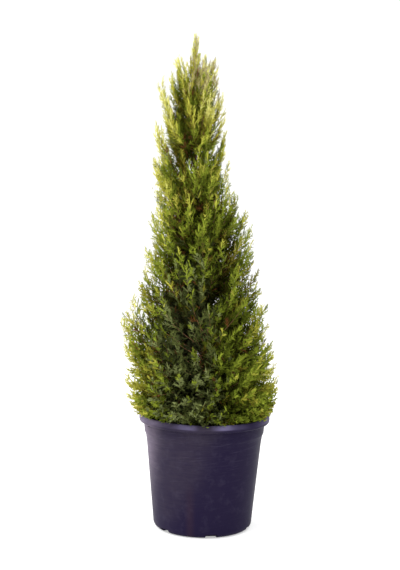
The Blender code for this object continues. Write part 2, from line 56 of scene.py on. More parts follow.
def addNode(tree, kind, values=None, links=None, **settings):
    # a link comes from a socket, or from the first output of a node
    node = tree.nodes.new("ShaderNode" + kind)
    for name, value in settings.items():
        setattr(node, name, value)
    for name, value in (values or {}).items():
        node.inputs[name].default_value = value
    for name, source in (links or {}).items():
        tree.links.new(getattr(source, "outputs", [source])[0], node.inputs[name])
    return node


def newMaterial(name, hexColour, roughness, **sockets):
    material = bpy.data.materials.new(name)
    material.use_nodes = True
    shader = material.node_tree.nodes["Principled BSDF"]
    shader.inputs["Base Color"].default_value = toLinear(hexColour)
    shader.inputs["Roughness"].default_value = roughness
    for socket, value in sockets.items():
        shader.inputs[socket.replace("_", " ")].default_value = value
    return material, material.node_tree, shader


def patternedMaterial(name, look, **sockets):
    # darker and paler places by one stretched noise, raised by it or by a pattern of small scales
    material, tree, shader = newMaterial(name, look["base"], look["roughness"], **sockets)
    place = addNode(tree, "TexCoord").outputs["Object"]
    perMetre = [1000 / size for size in look["patchMm"]]
    stretched = addNode(tree, "Mapping", {"Scale": perMetre}, {"Vector": place})
    patches = addNode(tree, "TexNoise", {"Scale": 1.0, "Detail": look["detail"]}, {"Vector": stretched})
    tint = addNode(tree, "ValToRGB", links={"Fac": patches})
    bands = zip(tint.color_ramp.elements, look["stops"], look["colours"])
    for element, stop, (hexColour, strength) in bands:
        element.position, element.color = stop, toLinear(hexColour, strength)
    raised = patches
    if "scaleMm" in look:
        raised = addNode(tree, "TexVoronoi", {"Scale": 1000 / look["scaleMm"]}, {"Vector": place})
    strength, depthMm = look["relief"]
    relief = addNode(tree, "Bump", {"Strength": strength, "Distance": depthMm / 1000}, {"Height": raised})
    tree.links.new(tint.outputs["Color"], shader.inputs["Base Color"])
    tree.links.new(relief.outputs["Normal"], shader.inputs["Normal"])
    return material


def addObject(name, data):
    thing = bpy.data.objects.new(name, data)
    bpy.context.scene.collection.objects.link(thing)
    return thing


def addPiece(name, vertices, faces, material, smooth=True):
    faces = np.asarray(faces, np.int32)
    mesh = bpy.data.meshes.new(name)
    mesh.vertices.add(len(vertices))
    mesh.vertices.foreach_set("co", np.asarray(vertices, np.float32).ravel())
    mesh.loops.add(faces.size)
    mesh.loops.foreach_set("vertex_index", faces.ravel())
    mesh.polygons.add(len(faces))
    mesh.polygons.foreach_set("loop_start", np.arange(0, faces.size, faces.shape[1], dtype=np.int32))
    mesh.update(calc_edges=True)
    mesh.polygons.foreach_set("use_smooth", np.full(len(faces), smooth))
    mesh.materials.append(material)
    return addObject(name, mesh)


def standsFor(piece, nodes):
    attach(piece, "root")
    if nodes:
        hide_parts(*nodes)


def unit(vectors):
    return vectors / np.maximum(np.linalg.norm(vectors, axis=-1, keepdims=True), 1e-9)


def turned(angles, first, second):
    # the direction at an angle from the first towards the second
    angles = np.asarray(angles)[..., None]
    return np.cos(angles) * first + np.sin(angles) * second


def polar(radius, turn):
    return radius * math.cos(turn), radius * math.sin(turn)


def rise(values, start, full, fade=None, gone=None):
    # 0 up to start and 1 from full on, and where it fades, 0 again past gone
    share = np.clip((values - start) / (full - start), 0, 1)
    share = share * share * (3 - 2 * share)
    return share if fade is None else share * (1 - rise(values, fade, gone))


def byHeight(table, heights, column=1):
    rows = np.array(table)
    return np.interp(heights, rows[:, 0], rows[:, column])


def bezierPoint(points, shares):
    t, n = np.asarray(shares, float)[..., None], len(points) - 1
    return sum(point * math.comb(n, k) * t**k * (1 - t) ** (n - k) for k, point in enumerate(points))


def tubeFaces(rings, sides, fans=True):
    # the wall between rings of points, and fans that close its ends round two added points
    j = np.arange(sides)
    k = (j + 1) % sides
    low = np.arange(rings - 1)[:, None] * sides
    high = low + sides
    wall = np.stack([low + j, low + k, high + k, low + j, high + k, high + j], -1).reshape(-1, 3)
    if not fans:
        return wall
    last, middle = (rings - 1) * sides, np.full(sides, rings * sides)
    return np.vstack([wall, np.stack([middle, k, j], 1), np.stack([middle + 1, last + j, last + k], 1)])


def joined(parts):
    vertices, faces, offset = [], [], 0
    for partVertices, partFaces in parts:
        vertices.append(partVertices)
        faces.append(partFaces + offset)
        offset += len(partVertices)
    return np.vstack(vertices), np.vstack(faces)


# The plant's plan, as in the solids

crown = {
    "outline": np.array((  # height, reach of the outermost tips, sideways place of the middle, mm
        (230, 120, 0), (262, 152, -2), (300, 172, -8), (357, 172, -9), (412, 168, -16),
        (467, 168, -24), (500, 157, -18), (551, 146, -14), (606, 132, -16), (661, 122, -18),
        (715, 111, -19), (770, 94, -28), (830, 92, -42), (905, 88, -41), (958, 74, -41),
        (1012, 74, -44), (1062, 47, -40), (1085, 18, -38), (1124, 6, -38),
    )) / 1000,
    "leafy": np.array((  # height, how far the leaves run on the left and on the right, mm
        (240, -168, 158), (274, -172, 160), (301, -182, 165), (357, -181, 164), (412, -184, 146),
        (467, -194, 138), (495, -174, 136), (523, -176, 140), (579, -148, 118), (633, -146, 106),
        (688, -134, 96), (743, -122, 73), (797, -132, 52), (851, -126, 38), (905, -124, 42),
        (930, -112, 34), (958, -108, 27), (1012, -112, 24), (1040, -94, 14), (1066, -82, 6),
        (1090, -52, -26), (1124, -46, -32),
    )) / 1000,
    "tiers": (  # tip height, masses, first azimuth, climb, bough's share of the reach, plumes on each
        (0.312, 6, 24.0, 0.052, 0.42, 56), (0.415, 6, 354.0, 0.116, 0.4, 58),
        (0.508, 5, 198.0, 0.165, 0.38, 60), (0.6, 5, 18.0, 0.165, 0.0, 54),
        (0.7, 4, 180.0, 0.18, 0.0, 56), (0.797, 4, 30.0, 0.175, 0.0, 52),
        (0.905, 3, 180.0, 0.18, 0.0, 56), (1.014, 3, 192.0, 0.16, 0.0, 48),
        (1.066, 3, 160.0, 0.12, 0.0, 32),
    ),
    "proud": {  # masses whose tips stand out past the rest: turn, rise and extra reach
        1: (-18.0, 0.010, 0.006),
        13: (-16.0, -0.014, 0.022),
    },
    "floor": 0.262,  # the lowest and highest place that foliage grows to
    "top": 1.124,
    "drawIn": (0.3, 1.06),  # least and most that a spot's place across may be scaled by
    "search": (0.2, 0.002),  # furthest reach that is tried, and its step
    "azimuthJitter": 9.0, "heightJitter": 0.010, "reachJitter": 0.005, "seed": 41,
}
trunk = {
    "line": (  # height, across, depth
        (0.226, 0.0, 0.0), (0.245, 0.0, 0.0), (0.42, -0.004, 0.004), (0.63, -0.018, -0.003),
        (0.77, -0.029, 0.002), (0.88, -0.037, 0.001), (1.0, -0.037, -0.001), (1.14, -0.038, 0.0),
    ),
    "foot": 0.2263, "top": 0.985, "footRadius": 0.0105, "tipRadius": 0.0026, "flareExtra": 0.0055,
    "flareHeight": 0.018, "rings": 15, "crowding": 1.6,
}
bough = {
    "rootRadius": 0.0048, "tipRadius": 0.0032, "drop": 0.035, "lowest": 0.012, "end": 0.006,
    "bends": (0.5, 0.35),  # shares of its length at which it bends, from the trunk and from its end
}
clear = {"flat": 0.0003, "leaning": 0.0004}  # thin spaces between the limbs, as in the solids
stem = {"rootRadius": 0.0030, "tipRadius": 0.0009, "share": 0.74}


def crownReach(height):
    return byHeight(crown["outline"], height)


def crownMiddle(height):
    return byHeight(crown["outline"], height, 2)


def trunkRings():
    rings = []
    for i in range(trunk["rings"]):
        share = (i / (trunk["rings"] - 1)) ** trunk["crowding"]
        height = trunk["foot"] + (trunk["top"] - trunk["foot"]) * share
        taper = trunk["footRadius"] + (trunk["tipRadius"] - trunk["footRadius"]) * share
        flare = trunk["flareExtra"] * math.exp((trunk["foot"] - height) / trunk["flareHeight"])
        across, along = (byHeight(trunk["line"], height, column) for column in (1, 2))
        rings.append((height, across, along, taper + flare))
    return np.array(rings)


trunkTable = trunkRings()


def trunkCentre(height):
    return np.array((byHeight(trunkTable, height), byHeight(trunkTable, height, 2), height))


def trunkRadius(height):
    return float(byHeight(trunkTable, height, 3))


def planMasses():
    rng = random.Random(crown["seed"])
    masses = []
    for tier, (height, count, first, climb, boughShare, plumes) in enumerate(crown["tiers"]):
        for index in range(count):
            extraTurn, lift, proud = crown["proud"].get(len(masses) + 1, (0.0, 0.0, 0.0))
            degrees = first + 360 * index / count + rng.uniform(-1, 1) * crown["azimuthJitter"] + extraTurn
            turn = math.radians(degrees)
            out = np.array((*polar(1.0, turn), 0.0))
            tipHeight = height + rng.uniform(-1, 1) * crown["heightJitter"] + lift
            reach = crownReach(tipHeight) - rng.uniform(0, 1) * crown["reachJitter"] + proud
            tip = np.array((crownMiddle(tipHeight), 0.0, tipHeight)) + out * reach
            rootHeight = tipHeight - climb
            if boughShare:
                standOff = reach * boughShare
            else:
                steep = climb / math.hypot(climb, reach)
                standOff = trunkRadius(rootHeight) + clear["leaning"] + stem["rootRadius"] * steep
            root = trunkCentre(rootHeight) + out * standOff
            line = {"root": root, "tip": tip, "out": out, "proud": proud}
            masses.append({**line, "tier": tier, "bough": boughShare > 0, "plumes": plumes})
    topRoot = trunkCentre(trunk["top"]) + up * clear["flat"]
    topTip = np.array((crownMiddle(crown["top"]), 0.0, crown["top"]))
    masses.append({"root": topRoot, "tip": topTip, "tier": len(crown["tiers"]), "bough": False})
    return masses


def boughLine(mass, count):
    towards = unit(mass["tip"] - mass["root"])
    end = mass["root"] - towards * (clear["flat"] + bough["end"])
    startHeight = max(end[2] - bough["drop"], trunk["foot"] - clear["flat"] + bough["lowest"])
    standOff = trunkRadius(startHeight - bough["rootRadius"]) + clear["leaning"]
    start = trunkCentre(startHeight) + mass["out"] * standOff
    collar = start + mass["out"] * bough["rootRadius"]
    outBend, endBend = np.linalg.norm(end - start) * np.array(bough["bends"])
    handles = (collar, collar + mass["out"] * outBend, end - towards * endBend, end)
    curve = bezierPoint(handles, np.linspace(0, 1, count - 2))
    return np.vstack([start, curve, mass["root"] - towards * clear["flat"]])


def closestPoints(a, b, c, d):
    along, across, between = b - a, d - c, a - c
    aa, bb, ab = along @ along, across @ across, along @ across
    ac, bc = along @ between, across @ between
    spread = aa * bb - ab * ab
    s = min(max((ab * bc - ac * bb) / spread, 0.0), 1.0) if spread > 1e-12 else 0.0
    t = (ab * s + bc) / bb
    if not 0.0 <= t <= 1.0:
        t = min(max(t, 0.0), 1.0)
        s = min(max((ab * t - ac) / aa, 0.0), 1.0)
    return a + along * s, c + across * t


def spaceOf(mass, masses):
    # planes half way to every other mass, as places and normals
    pairs = [closestPoints(mass["root"], mass["tip"], m["root"], m["tip"]) for m in masses if m is not mass]
    places = np.array([(near + far) / 2 for near, far in pairs])
    normals = unit(np.array([far - near for near, far in pairs]))
    return places, normals


def spaceReach(space, proud, centre, directions):
    # how far each direction runs before it leaves the mass's own space or the crown
    places, normals = space
    facing = directions @ normals.T
    gaps = ((places - centre) * normals).sum(1)
    limit = np.where(facing > 1e-6, gaps / np.maximum(facing, 1e-6), 1.0).min(1)
    steps = np.arange(0, *crown["search"])
    spots = centre + directions[:, None] * steps[None, :, None]
    heights = spots[..., 2]
    outside = np.hypot(spots[..., 0] - crownMiddle(heights), spots[..., 1]) > crownReach(heights) + proud
    outside |= (heights <= crown["floor"]) | (heights >= crown["top"])
    first = np.where(outside.any(1), outside.argmax(1), len(steps) - 1)
    return np.minimum(limit, steps[first])


def leafySpots(spots):
    # draws each spot in, so that the crown is as wide on the left and the right as the real one
    middle, reach = crownMiddle(spots[:, 2]), crownReach(spots[:, 2])
    left, right = (byHeight(crown["leafy"], spots[:, 2], column) for column in (1, 2))
    across = spots[:, 0] - middle
    run = np.where(across < 0, middle - left, right - middle)
    return np.column_stack([middle + across * np.clip(run / reach, *crown["drawIn"]), spots[:, 1:]])


masses = planMasses()
massNames = [f"mass_{n + 1:02d}" for n in range(len(masses) - 1)] + ["leader"]
print("plan: masses", len(masses))


# Stringy cypress bark: thin reddish-brown strips, dry and matt, darker in the furrows

barkLook = {
    "base": "7a5138", "colours": (("35231a", 1.0), ("7a5138", 1.0)), "stops": (0.36, 0.62),
    "patchMm": (1.6, 1.6, 22.0),  # width and length of a strip
    "detail": 5.0,
    "relief": (0.6, 0.8),  # strength, depth in mm
    "roughness": 0.88,
}
ridge = {  # strips to a metre round and along the limb, and their height
    "around": 700, "along": 70, "sharpness": 2.2, "fine": 0.5, "level": 0.9,
    "fullAt": 0.005,  # thinner limbs than this have shallower strips
    "seam": (0.35, 0.9, 0.12),  # askew to every limb: the sides are counted from there
}
limbs = {  # rings, sides, depth of the relief
    "trunk": (300, 28, 0.0007), "bough": (26, 14, 0.0005), "stem": (14, 8, 0.0002),
}


def limbMesh(points, radii, sides, reliefDepth):
    # a closed limb with rings square to its line and strips of bark raised along it
    points = np.asarray(points)
    tangents = unit(np.gradient(points, axis=0))
    across = unit(np.cross(tangents, ridge["seam"]))
    over = np.cross(tangents, across)
    walked = np.concatenate([[0], np.cumsum(np.linalg.norm(np.diff(points, axis=0), axis=1))])
    vertices = []
    for i, point in enumerate(points):
        girth = radii[i] * ridge["around"]
        for turn in np.linspace(0, 2 * np.pi, sides, endpoint=False):
            spot = Vector((*polar(girth, turn), walked[i] * ridge["along"]))
            height = 1 - abs(noise.noise(spot)) * ridge["sharpness"] + ridge["fine"] * noise.noise(spot * 2)
            raised = reliefDepth * (height - ridge["level"]) * min(1.0, radii[i] / ridge["fullAt"])
            vertices.append(point + turned(turn, across[i], over[i]) * (radii[i] + raised))
    return np.array([*vertices, points[0], points[-1]]), tubeFaces(len(points), sides)


bark = patternedMaterial("stringy_cypress_bark", barkLook)
rings, sides, relief = limbs["trunk"]
trunkHeights = np.linspace(trunk["foot"], trunk["top"], rings)
trunkPoints = [trunkCentre(height) for height in trunkHeights]
trunkRadii = [trunkRadius(height) for height in trunkHeights]
trunkMesh = limbMesh(trunkPoints, trunkRadii, sides, relief)
standsFor(addPiece("trunk_bark", *trunkMesh, bark), ["trunk"])

rings, sides, relief = limbs["bough"]
boughRadii = np.linspace(bough["rootRadius"], bough["tipRadius"], rings)
boughLines = [boughLine(mass, rings) for mass in masses if mass["bough"]]
boughMesh = joined([limbMesh(line, boughRadii, sides, relief) for line in boughLines])
boughNames = sorted(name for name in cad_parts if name.startswith("bough"))
standsFor(addPiece("bough_bark", *boughMesh, bark), boughNames)
print("limbs: trunk and", len(boughLines), "boughs")


# Pot: thin moulded black polypropylene, its violet tint a painted bluish reflection, with a soft sheen and
# faint rings from its mould.
# Dust lies on its left, paler high at the far left where it is also a painted sheen, with scratches and
# rubbed spots, a worn rim that also carries painted highlights, and one narrow brown vertical streak low on
# the front.

pot = {
    "height": 0.261, "rimRadius": 0.150, "rimDepth": 0.017, "rimSquash": 0.60,
    "rimFullness": 0.6,  # of the lower half of the rim's bead, 1 is round
    "rimInner": 0.1400, "collarFoot": 0.2165, "collarTop": 0.1395,
    "collarLine": (  # radius and height: the faint band on the wall, the step and the collar
        (0.130631, 0.1896), (0.130931, 0.1930), (0.1337, 0.2119), (0.1342, 0.2141),
        (0.1360, 0.2183), (0.1370, 0.2205), (0.1372, 0.2225), (0.1391, 0.2428),
    ),
    "insideLine": ((0.1412, 0.2602), (0.1400, 0.2580), (0.1374, 0.2440), (0.1306, 0.2165)),
    "wallTop": 0.1332, "bandFoot": 0.188, "wallFoot": 0.1145, "wallFootHeight": 0.024,
    "footRound": 0.013, "wall": 0.0026, "floor": 0.0030, "floorEdge": 0.002,
    "steps": 168, "footSteps": 9, "wallSteps": 22, "rimSteps": 19, "sharpAngle": 32.0, "slots": 6,
    "slotWidth": 0.026, "slotHeight": 0.0090, "slotDepth": 0.022, "slotTurn": 10.5,
    "holeTurn": -154.0, "holeHeight": 0.2405, "holeSize": (0.014, 0.006, 0.005),
}
potLook = {
    # the base colour is black with a violet tint that is a painted bluish reflection
    "base": "1b152e", "roughness": 0.38, "specular": 0.030,
    "textures": {  # size in mm across, deep and up, tilt, detail, roughness, distortion
        "clouds": ((75, 75, 75), (0, 0, 0), 6.0, 0.6, 0.0),
        "wipes": ((60, 60, 5), (0, 0, 0), 3.0, 0.5, 0.8),  # the marks of a hand that wiped the dust
        "lines": ((48, 48, 1.6), (-4, -6, 0), 2.0, 0.5, 1.2),  # thin marks of handling
        "patches": ((24, 24, 24), (0, 0, 0), 5.0, 0.65, 0.0),
        "grain": ((0.7, 0.7, 0.7), (0, 0, 0), 2.0, 0.5, 0.0),  # really about 0.2 mm, too fine to show
    },
    "grainRelief": (0.12, 0.3),  # strength, depth in mm
    "ringMm": 9.0,
    "ringWaver": 1.5, "ringWaverSize": 8.0, "ringRelief": (0.10, 0.2),
    "dustSlant": 0.45,  # the dust reaches further right for each metre up
    "streakTurn": -104.0,  # bearing of the narrow brown streak
    "masks": {  # what each reads, where it starts and is full, its least and most
        "cloudy": ("clouds", 0.30, 0.66, 0.40, 1.0),
        "wiped": ("wipes", 0.35, 0.65, 0.74, 1.0),
        "sheltered": ("slant", -0.040, -0.112, 0.16, 1.0, "eased"),
        "upward": ("Z", 0.0, 0.15, 0.35, 1.0),  # thinner dust towards the floor
        "paleLeftDustAndSheen": ("X", -0.088, -0.134, 0.0, 1.0, "eased"),  # paler dust high at the far left, partly a painted sheen
        "above": ("Z", 0.03, 0.20, 0.0, 1.0, "eased"),
        "scratches": ("lines", 0.58, 0.76, 0.0, 0.12),
        "handling": ("Z", 0.10, 0.22, 0.2, 1.0),  # more scratches towards the collar
        "rubbed": ("patches", 0.52, 0.78, 0.0, 0.06),
        "run": ("apart", 0.0, math.radians(7.5), 0.30, 0.0, "eased"),
        "lower": ("Z", 0.15, 0.06, 0.0, 1.0, "eased"),  # the streak fades out upwards
        "crest": ("Z", 0.2488, 0.2525, 0.0, 1.0, "eased"),  # the top of the rim's bead
        "turn": ("bearing", -math.pi, math.pi, 0.0, 1.0),
        "shine": ("clouds", 0.0, 1.0, 0.32, 0.52),  # roughness
    },
    "rimWearAndSheen": (  # degrees round the rim, share worn pale and painted with highlight there
        (-180, 0.50), (-160, 0.26), (-140, 0.08), (-121, 0.04), (-103, 0.48), (-93, 0.00),
        (-86, 0.02), (-74, 0.70), (-61, 0.18), (-45, 0.02), (-10, 0.50), (20, 0.08), (48, 0.85),
        (75, 0.15), (105, 0.55), (135, 0.05), (160, 0.75), (180, 0.50),
    ),
    "layers": (  # colour, and the masks whose product shows it
        ("352f3b", "cloudy", "wiped", "upward", "sheltered"),
        # paler dust at the far left, partly a painted sheen from the light on that side
        ("665b6b", "cloudy", "wiped", "paleLeftDustAndSheen", "above"),
        ("7d778c", "scratches", "handling", "rubbed"),
        # a narrow brown vertical streak low on the front, fading out upwards
        ("38272e", "run", "lower"),
        # the rim's crest made paler: wear and a painted highlight
        ("70698a", "crest", "wearAndSheen"),
    ),
}


def wallRadius(height):
    share = (height - pot["wallFootHeight"]) / (pot["collarFoot"] - pot["wallFootHeight"])
    return pot["wallFoot"] + (pot["wallTop"] - pot["wallFoot"]) * share


def potProfile():
    # from the middle of the underside out, up, over the rim and down inside
    foot, bead = pot["footRound"], pot["rimDepth"] / 2
    footReach = wallRadius(foot) - foot
    profile = [(0.0, 0.0)]
    for angle in np.radians(np.linspace(-90, 0, pot["footSteps"])):
        profile.append((footReach + foot * math.cos(angle), foot + foot * math.sin(angle)))
    heights = np.linspace(pot["wallFootHeight"], pot["bandFoot"], pot["wallSteps"])
    profile += [(wallRadius(height), height) for height in heights]
    profile += pot["collarLine"]
    for angle in np.radians(np.linspace(-90, 90, pot["rimSteps"])):
        full = pot["rimFullness"] if angle < 0 else 1.0
        inward = bead * pot["rimSquash"] * (1 - math.cos(angle) ** full)
        profile.append((pot["rimRadius"] - inward, pot["height"] - bead + bead * math.sin(angle)))
    profile += [*pot["insideLine"], (wallRadius(foot) - pot["wall"], foot + pot["floorEdge"])]
    return [*profile, (footReach, pot["floor"]), (0.0, pot["floor"])]


def latheMesh(profile, steps):
    turns = np.linspace(0, 2 * np.pi, steps, endpoint=False)
    rings = [(r * np.cos(turns), r * np.sin(turns), np.full(steps, z)) for r, z in profile[1:-1]]
    body = np.array(rings).transpose(0, 2, 1).reshape(-1, 3)
    vertices = np.vstack([body, (0, 0, profile[0][1]), (0, 0, profile[-1][1])])
    return vertices, tubeFaces(len(rings), steps)


def cutBoxes(piece, boxes):
    # each box is its middle, its size and its turn; they are cut out for good
    cutters = []
    for middle, size, turn in boxes:
        bpy.ops.mesh.primitive_cube_add(size=1, location=middle, rotation=(0, 0, turn))
        cutter = bpy.context.object
        cutter.scale = size
        cutters.append(cutter)
        cut = piece.modifiers.new("cut", "BOOLEAN")
        cut.operation, cut.solver, cut.object = "DIFFERENCE", "EXACT", cutter
    bpy.context.view_layer.update()
    finished = bpy.data.meshes.new_from_object(piece.evaluated_get(bpy.context.evaluated_depsgraph_get()))
    piece.modifiers.clear()
    piece.data = finished
    finished.polygons.foreach_set("use_smooth", np.full(len(finished.polygons), True))
    finished.set_sharp_from_angle(angle=math.radians(pot["sharpAngle"]))
    for cutter in cutters:
        bpy.data.objects.remove(cutter, do_unlink=True)


def potMaterial():
    look, sockets = potLook, {"Specular_IOR_Level": potLook["specular"]}
    plain = ("moulded_polypropylene", look["base"], look["roughness"])
    material, tree, shader = newMaterial(*plain, **sockets)
    spot = {"Vector": addNode(tree, "TexCoord").outputs["Object"]}
    axes = addNode(tree, "SeparateXYZ", links=spot).outputs
    x, y, z = axes["X"], axes["Y"], axes["Z"]
    slant = addNode(tree, "Math", {1: -look["dustSlant"]}, {0: z, 2: x}, operation="MULTIPLY_ADD")
    bearing = addNode(tree, "Math", links={0: y, 1: x}, operation="ARCTAN2")
    away = addNode(tree, "Math", {1: math.radians(look["streakTurn"])}, {0: bearing}, operation="SUBTRACT")
    apart = addNode(tree, "Math", links={0: away}, operation="ABSOLUTE")
    read = {"X": x, "Z": z, "slant": slant, "bearing": bearing, "apart": apart}
    for name, (size, tilt, detail, roughness, distortion) in look["textures"].items():
        laid = {"Rotation": np.radians(tilt), "Scale": np.divide(size, 1000)}
        laid = addNode(tree, "Mapping", laid, spot, vector_type="TEXTURE")
        noisy = {"Scale": 1.0, "Detail": detail, "Roughness": roughness, "Distortion": distortion}
        read[name] = addNode(tree, "TexNoise", noisy, {"Vector": laid})
    masks = {}
    for name, (source, start, full, least, most, *eased) in look["masks"].items():
        ends = {"From Min": start, "From Max": full, "To Min": least, "To Max": most}
        curve = "SMOOTHSTEP" if eased else "LINEAR"
        masks[name] = addNode(tree, "MapRange", ends, {"Value": read[source]}, interpolation_type=curve)
    # share of the rim worn pale and painted with highlight at each bearing
    masks["wearAndSheen"] = addNode(tree, "ValToRGB", links={"Fac": masks["turn"]})
    ramp = masks["wearAndSheen"].color_ramp
    ramp.interpolation = "EASE"
    ramp.elements.remove(ramp.elements[1])
    for index, (turn, share) in enumerate(look["rimWearAndSheen"]):
        stop = ramp.elements[0] if index == 0 else ramp.elements.new((turn + 180) / 360)
        stop.color = (share, share, share, 1.0)
    under = {}
    for hexColour, first, *others in look["layers"]:
        mask = masks[first]
        for name in others:  # the rubbed spots lie beside the scratches, so the stronger of them shows
            joining = "MAXIMUM" if name == "rubbed" else "MULTIPLY"
            mask = addNode(tree, "Math", links={0: mask, 1: masks[name]}, operation=joining)
        colours = {"Color1": toLinear(look["base"]), "Color2": toLinear(hexColour)}
        under = {"Color1": addNode(tree, "MixRGB", colours, {"Fac": mask, **under})}
    tree.links.new(under["Color1"].outputs["Color"], shader.inputs["Base Color"])
    tree.links.new(masks["shine"].outputs["Result"], shader.inputs["Roughness"])
    # a fine moulded grain over faint rings left by the mould, which repeat every 100 pi mm at a scale of 1
    spacing = {"Scale": 100 * math.pi / look["ringMm"], "Distortion": look["ringWaver"]}
    spacing["Detail Scale"] = look["ringWaverSize"]
    rings = addNode(tree, "TexWave", spacing, spot, bands_direction="Z").outputs["Fac"]
    over = {}
    for source, (strength, depthMm) in ((read["grain"], look["grainRelief"]), (rings, look["ringRelief"])):
        depth = {"Strength": strength, "Distance": depthMm / 1000}
        over = {"Normal": addNode(tree, "Bump", depth, {"Height": source, **over})}
    tree.links.new(over["Normal"].outputs["Normal"], shader.inputs["Normal"])
    return material


potPiece = addPiece("pot_shell", *latheMesh(potProfile(), pot["steps"]), potMaterial())
slotReach = wallRadius(pot["footRound"])
slotSize = (2 * pot["slotDepth"], pot["slotWidth"], 2 * pot["slotHeight"])
cuts = []
for index in range(pot["slots"]):
    turn = math.radians(pot["slotTurn"] + 360 * index / pot["slots"] - 90)
    cuts.append(((*polar(slotReach, turn), 0), slotSize, turn))
turn = math.radians(pot["holeTurn"])
cuts.append(((*polar(pot["collarTop"], turn), pot["holeHeight"]), pot["holeSize"], turn))
cutBoxes(potPiece, cuts)
standsFor(potPiece, ["pot"])
print("pot:", len(potPiece.data.polygons), "faces")


# Compost: dark moist peat with crumbs and chips of bark

compost = {
    "base": "33251b", "colours": (("1b130d", 1.0), ("4b3626", 1.0)), "stops": (0.35, 0.70),
    "patchMm": (3.125, 3.125, 3.125), "detail": 6.0, "relief": (0.8, 2.0), "roughness": 0.92,
    "top": 0.226, "sink": 0.001,
    "fall": (0.003, 0.12),  # how far it falls from the middle to that radius
    "lumps": ((60, 0, 0.0012), (170, 4, 0.0008)),  # lumps in a metre, layer of the noise, height
    "gap": 0.0006,  # between it and the pot's wall
    "foot": 0.0034,
    "slotGap": 0.0005,  # above a drain slot
    "shoulders": (0.0160, 0.2140),  # where its side starts and ends
    "inset": (0.004, 0.001, 0.008),  # its hollow's foot and roof from the slots' ends, its lower edge
    "middle": 0.004, "surfaceSteps": 44, "steps": 110, "seed": 3,
    "crumbs": 1400, "crumbSize": 0.0022, "crumbReach": 0.122,
    "crumbFrom": 0.02,  # share of the area at the stem that has none
    "crumbSizes": (0.4, 1.5), "crumbSides": (0.5, 1.3), "crumbRough": (-0.25, 0.25),
}


def compostSurface(x, y):
    fall, reach = compost["fall"]
    height = compost["top"] - fall * (math.hypot(x, y) / reach) ** 2 - compost["sink"]
    for perMetre, layer, lump in compost["lumps"]:
        height += lump * noise.noise((x * perMetre, y * perMetre, layer))
    return height


def compostMesh():
    inside, foot = pot["wall"] + compost["gap"], compost["foot"]
    roof = pot["slotHeight"] + compost["slotGap"]
    collarReach, footReach = pot["wallTop"] - inside, wallRadius(pot["footRound"]) - inside
    slotEnd = wallRadius(pot["footRound"]) - pot["slotDepth"]
    low, high = compost["shoulders"]
    footIn, roofIn, edgeIn = compost["inset"]
    profile = [(0.0, foot), (slotEnd - footIn, foot), (slotEnd - roofIn, roof), (footReach - edgeIn, roof)]
    profile += [(footReach, low), (collarReach, high)]
    surface = np.linspace(collarReach, compost["middle"], compost["surfaceSteps"])
    profile += [(radius, compost["top"]) for radius in [*surface, 0.0]]
    vertices, faces = latheMesh(profile, compost["steps"])
    for vertex in vertices:
        if vertex[2] == compost["top"]:
            vertex[2] = compostSurface(vertex[0], vertex[1])
    return vertices, faces


def crumbMeshes(rng):
    # small rough eight-sided lumps that lie on the surface
    count = compost["crumbs"]
    radius = compost["crumbReach"] * np.sqrt(rng.uniform(compost["crumbFrom"], 1, count))
    turn = rng.uniform(0, 2 * np.pi, count)
    size = compost["crumbSize"] * rng.uniform(*compost["crumbSizes"], (count, 1))
    size = size * rng.uniform(*compost["crumbSides"], (count, 3))
    places = np.array([(x, y, compostSurface(x, y)) for x, y in map(polar, radius, turn)])
    shape = np.array(((1, 0, 0), (0, 1, 0), (-1, 0, 0), (0, -1, 0), (0, 0, 1), (0, 0, -1)), float)
    shape = shape + rng.uniform(*compost["crumbRough"], (count, 6, 3))
    vertices = places[:, None] + size[:, None] * shape
    one = [(k, (k + 1) % 4, 4) for k in range(4)] + [((k + 1) % 4, k, 5) for k in range(4)]
    faces = np.arange(count)[:, None, None] * 6 + one
    return vertices.reshape(-1, 3), faces.reshape(-1, 3)


peat = patternedMaterial("moist_peat_compost", compost)
standsFor(addPiece("compost_bed", *compostMesh(), peat), ["soil"])
crumbs = crumbMeshes(np.random.default_rng(compost["seed"]))
standsFor(addPiece("compost_crumbs", *crumbs, peat, smooth=False), [])
print("compost: bed and", compost["crumbs"], "crumbs")


# Foliage: shoots curve out and up from each stem, sprays stand on the shoots, leaf cords on the sprays

shoot = {
    "steepness": (  # height of the tip, degrees above level
        (0.24, -50.0), (0.262, -10.0), (0.3, 22.0), (0.36, 40.0), (0.46, 50.0), (0.6, 58.0),
        (0.8, 66.0), (1.1, 80.0),
    ),
    "length": ((0.25, 0.060), (0.32, 0.080), (0.50, 0.095), (0.80, 0.110), (1.10, 0.105)),
    "steepest": 88.0, "steepnessJitter": 13.0, "turnJitter": 28.0,
    "upper": 0.55,  # share of its length above its bend, and the most below it
    "lower": 0.75,
    "leaves": (0.25, 0.02, 0.84),  # how far back on the stem it leaves, the first and last place
    "spread": 1.9,  # nearly from pole to pole round the mass
    "seam": (0.31, 0.87, 0.39),  # askew to every stem: turns are counted from there
    "turns": (-0.25, 0.25),  # jitter of their even turns, in radians
    "backward": (-0.45, -0.8),  # how far back to the trunk they point: most tiers, the upper ones
    "upperFrom": 5, "outerReach": (0.86, 1.0), "innerReach": (0.50, 0.88), "innerEvery": 3,
    "coreCount": (9, 3),  # most tiers, the top ones
    "topFrom": 7, "coreAt": 0.14, "coreReach": (0.35, 0.80), "coreForward": 0.5,
    "sizes": (0.8, 1.15), "sprays": 17,
    "farShort": 0.18,  # share of its length by which a far one ends before its place
    "farRoot": 0.03,  # it grows from the mass whose tip, lowered by this, is nearest
    "leaderBend": (-0.005, 0.005),
    "rootRadius": 0.0009, "tipRadius": 0.0003, "rings": 7,
    "woody": 0.90,  # share of the shoot that shows wood
    "seed": 7,
}
skirt = {
    "count": 150, "radius": (0.124, 0.157), "height": (0.254, 0.286), "size": 0.066,
    "overRim": 0.2475,
    "inside": 0.150,  # within this radius their tips are lifted over the rim
    "lifted": 0.262,
}
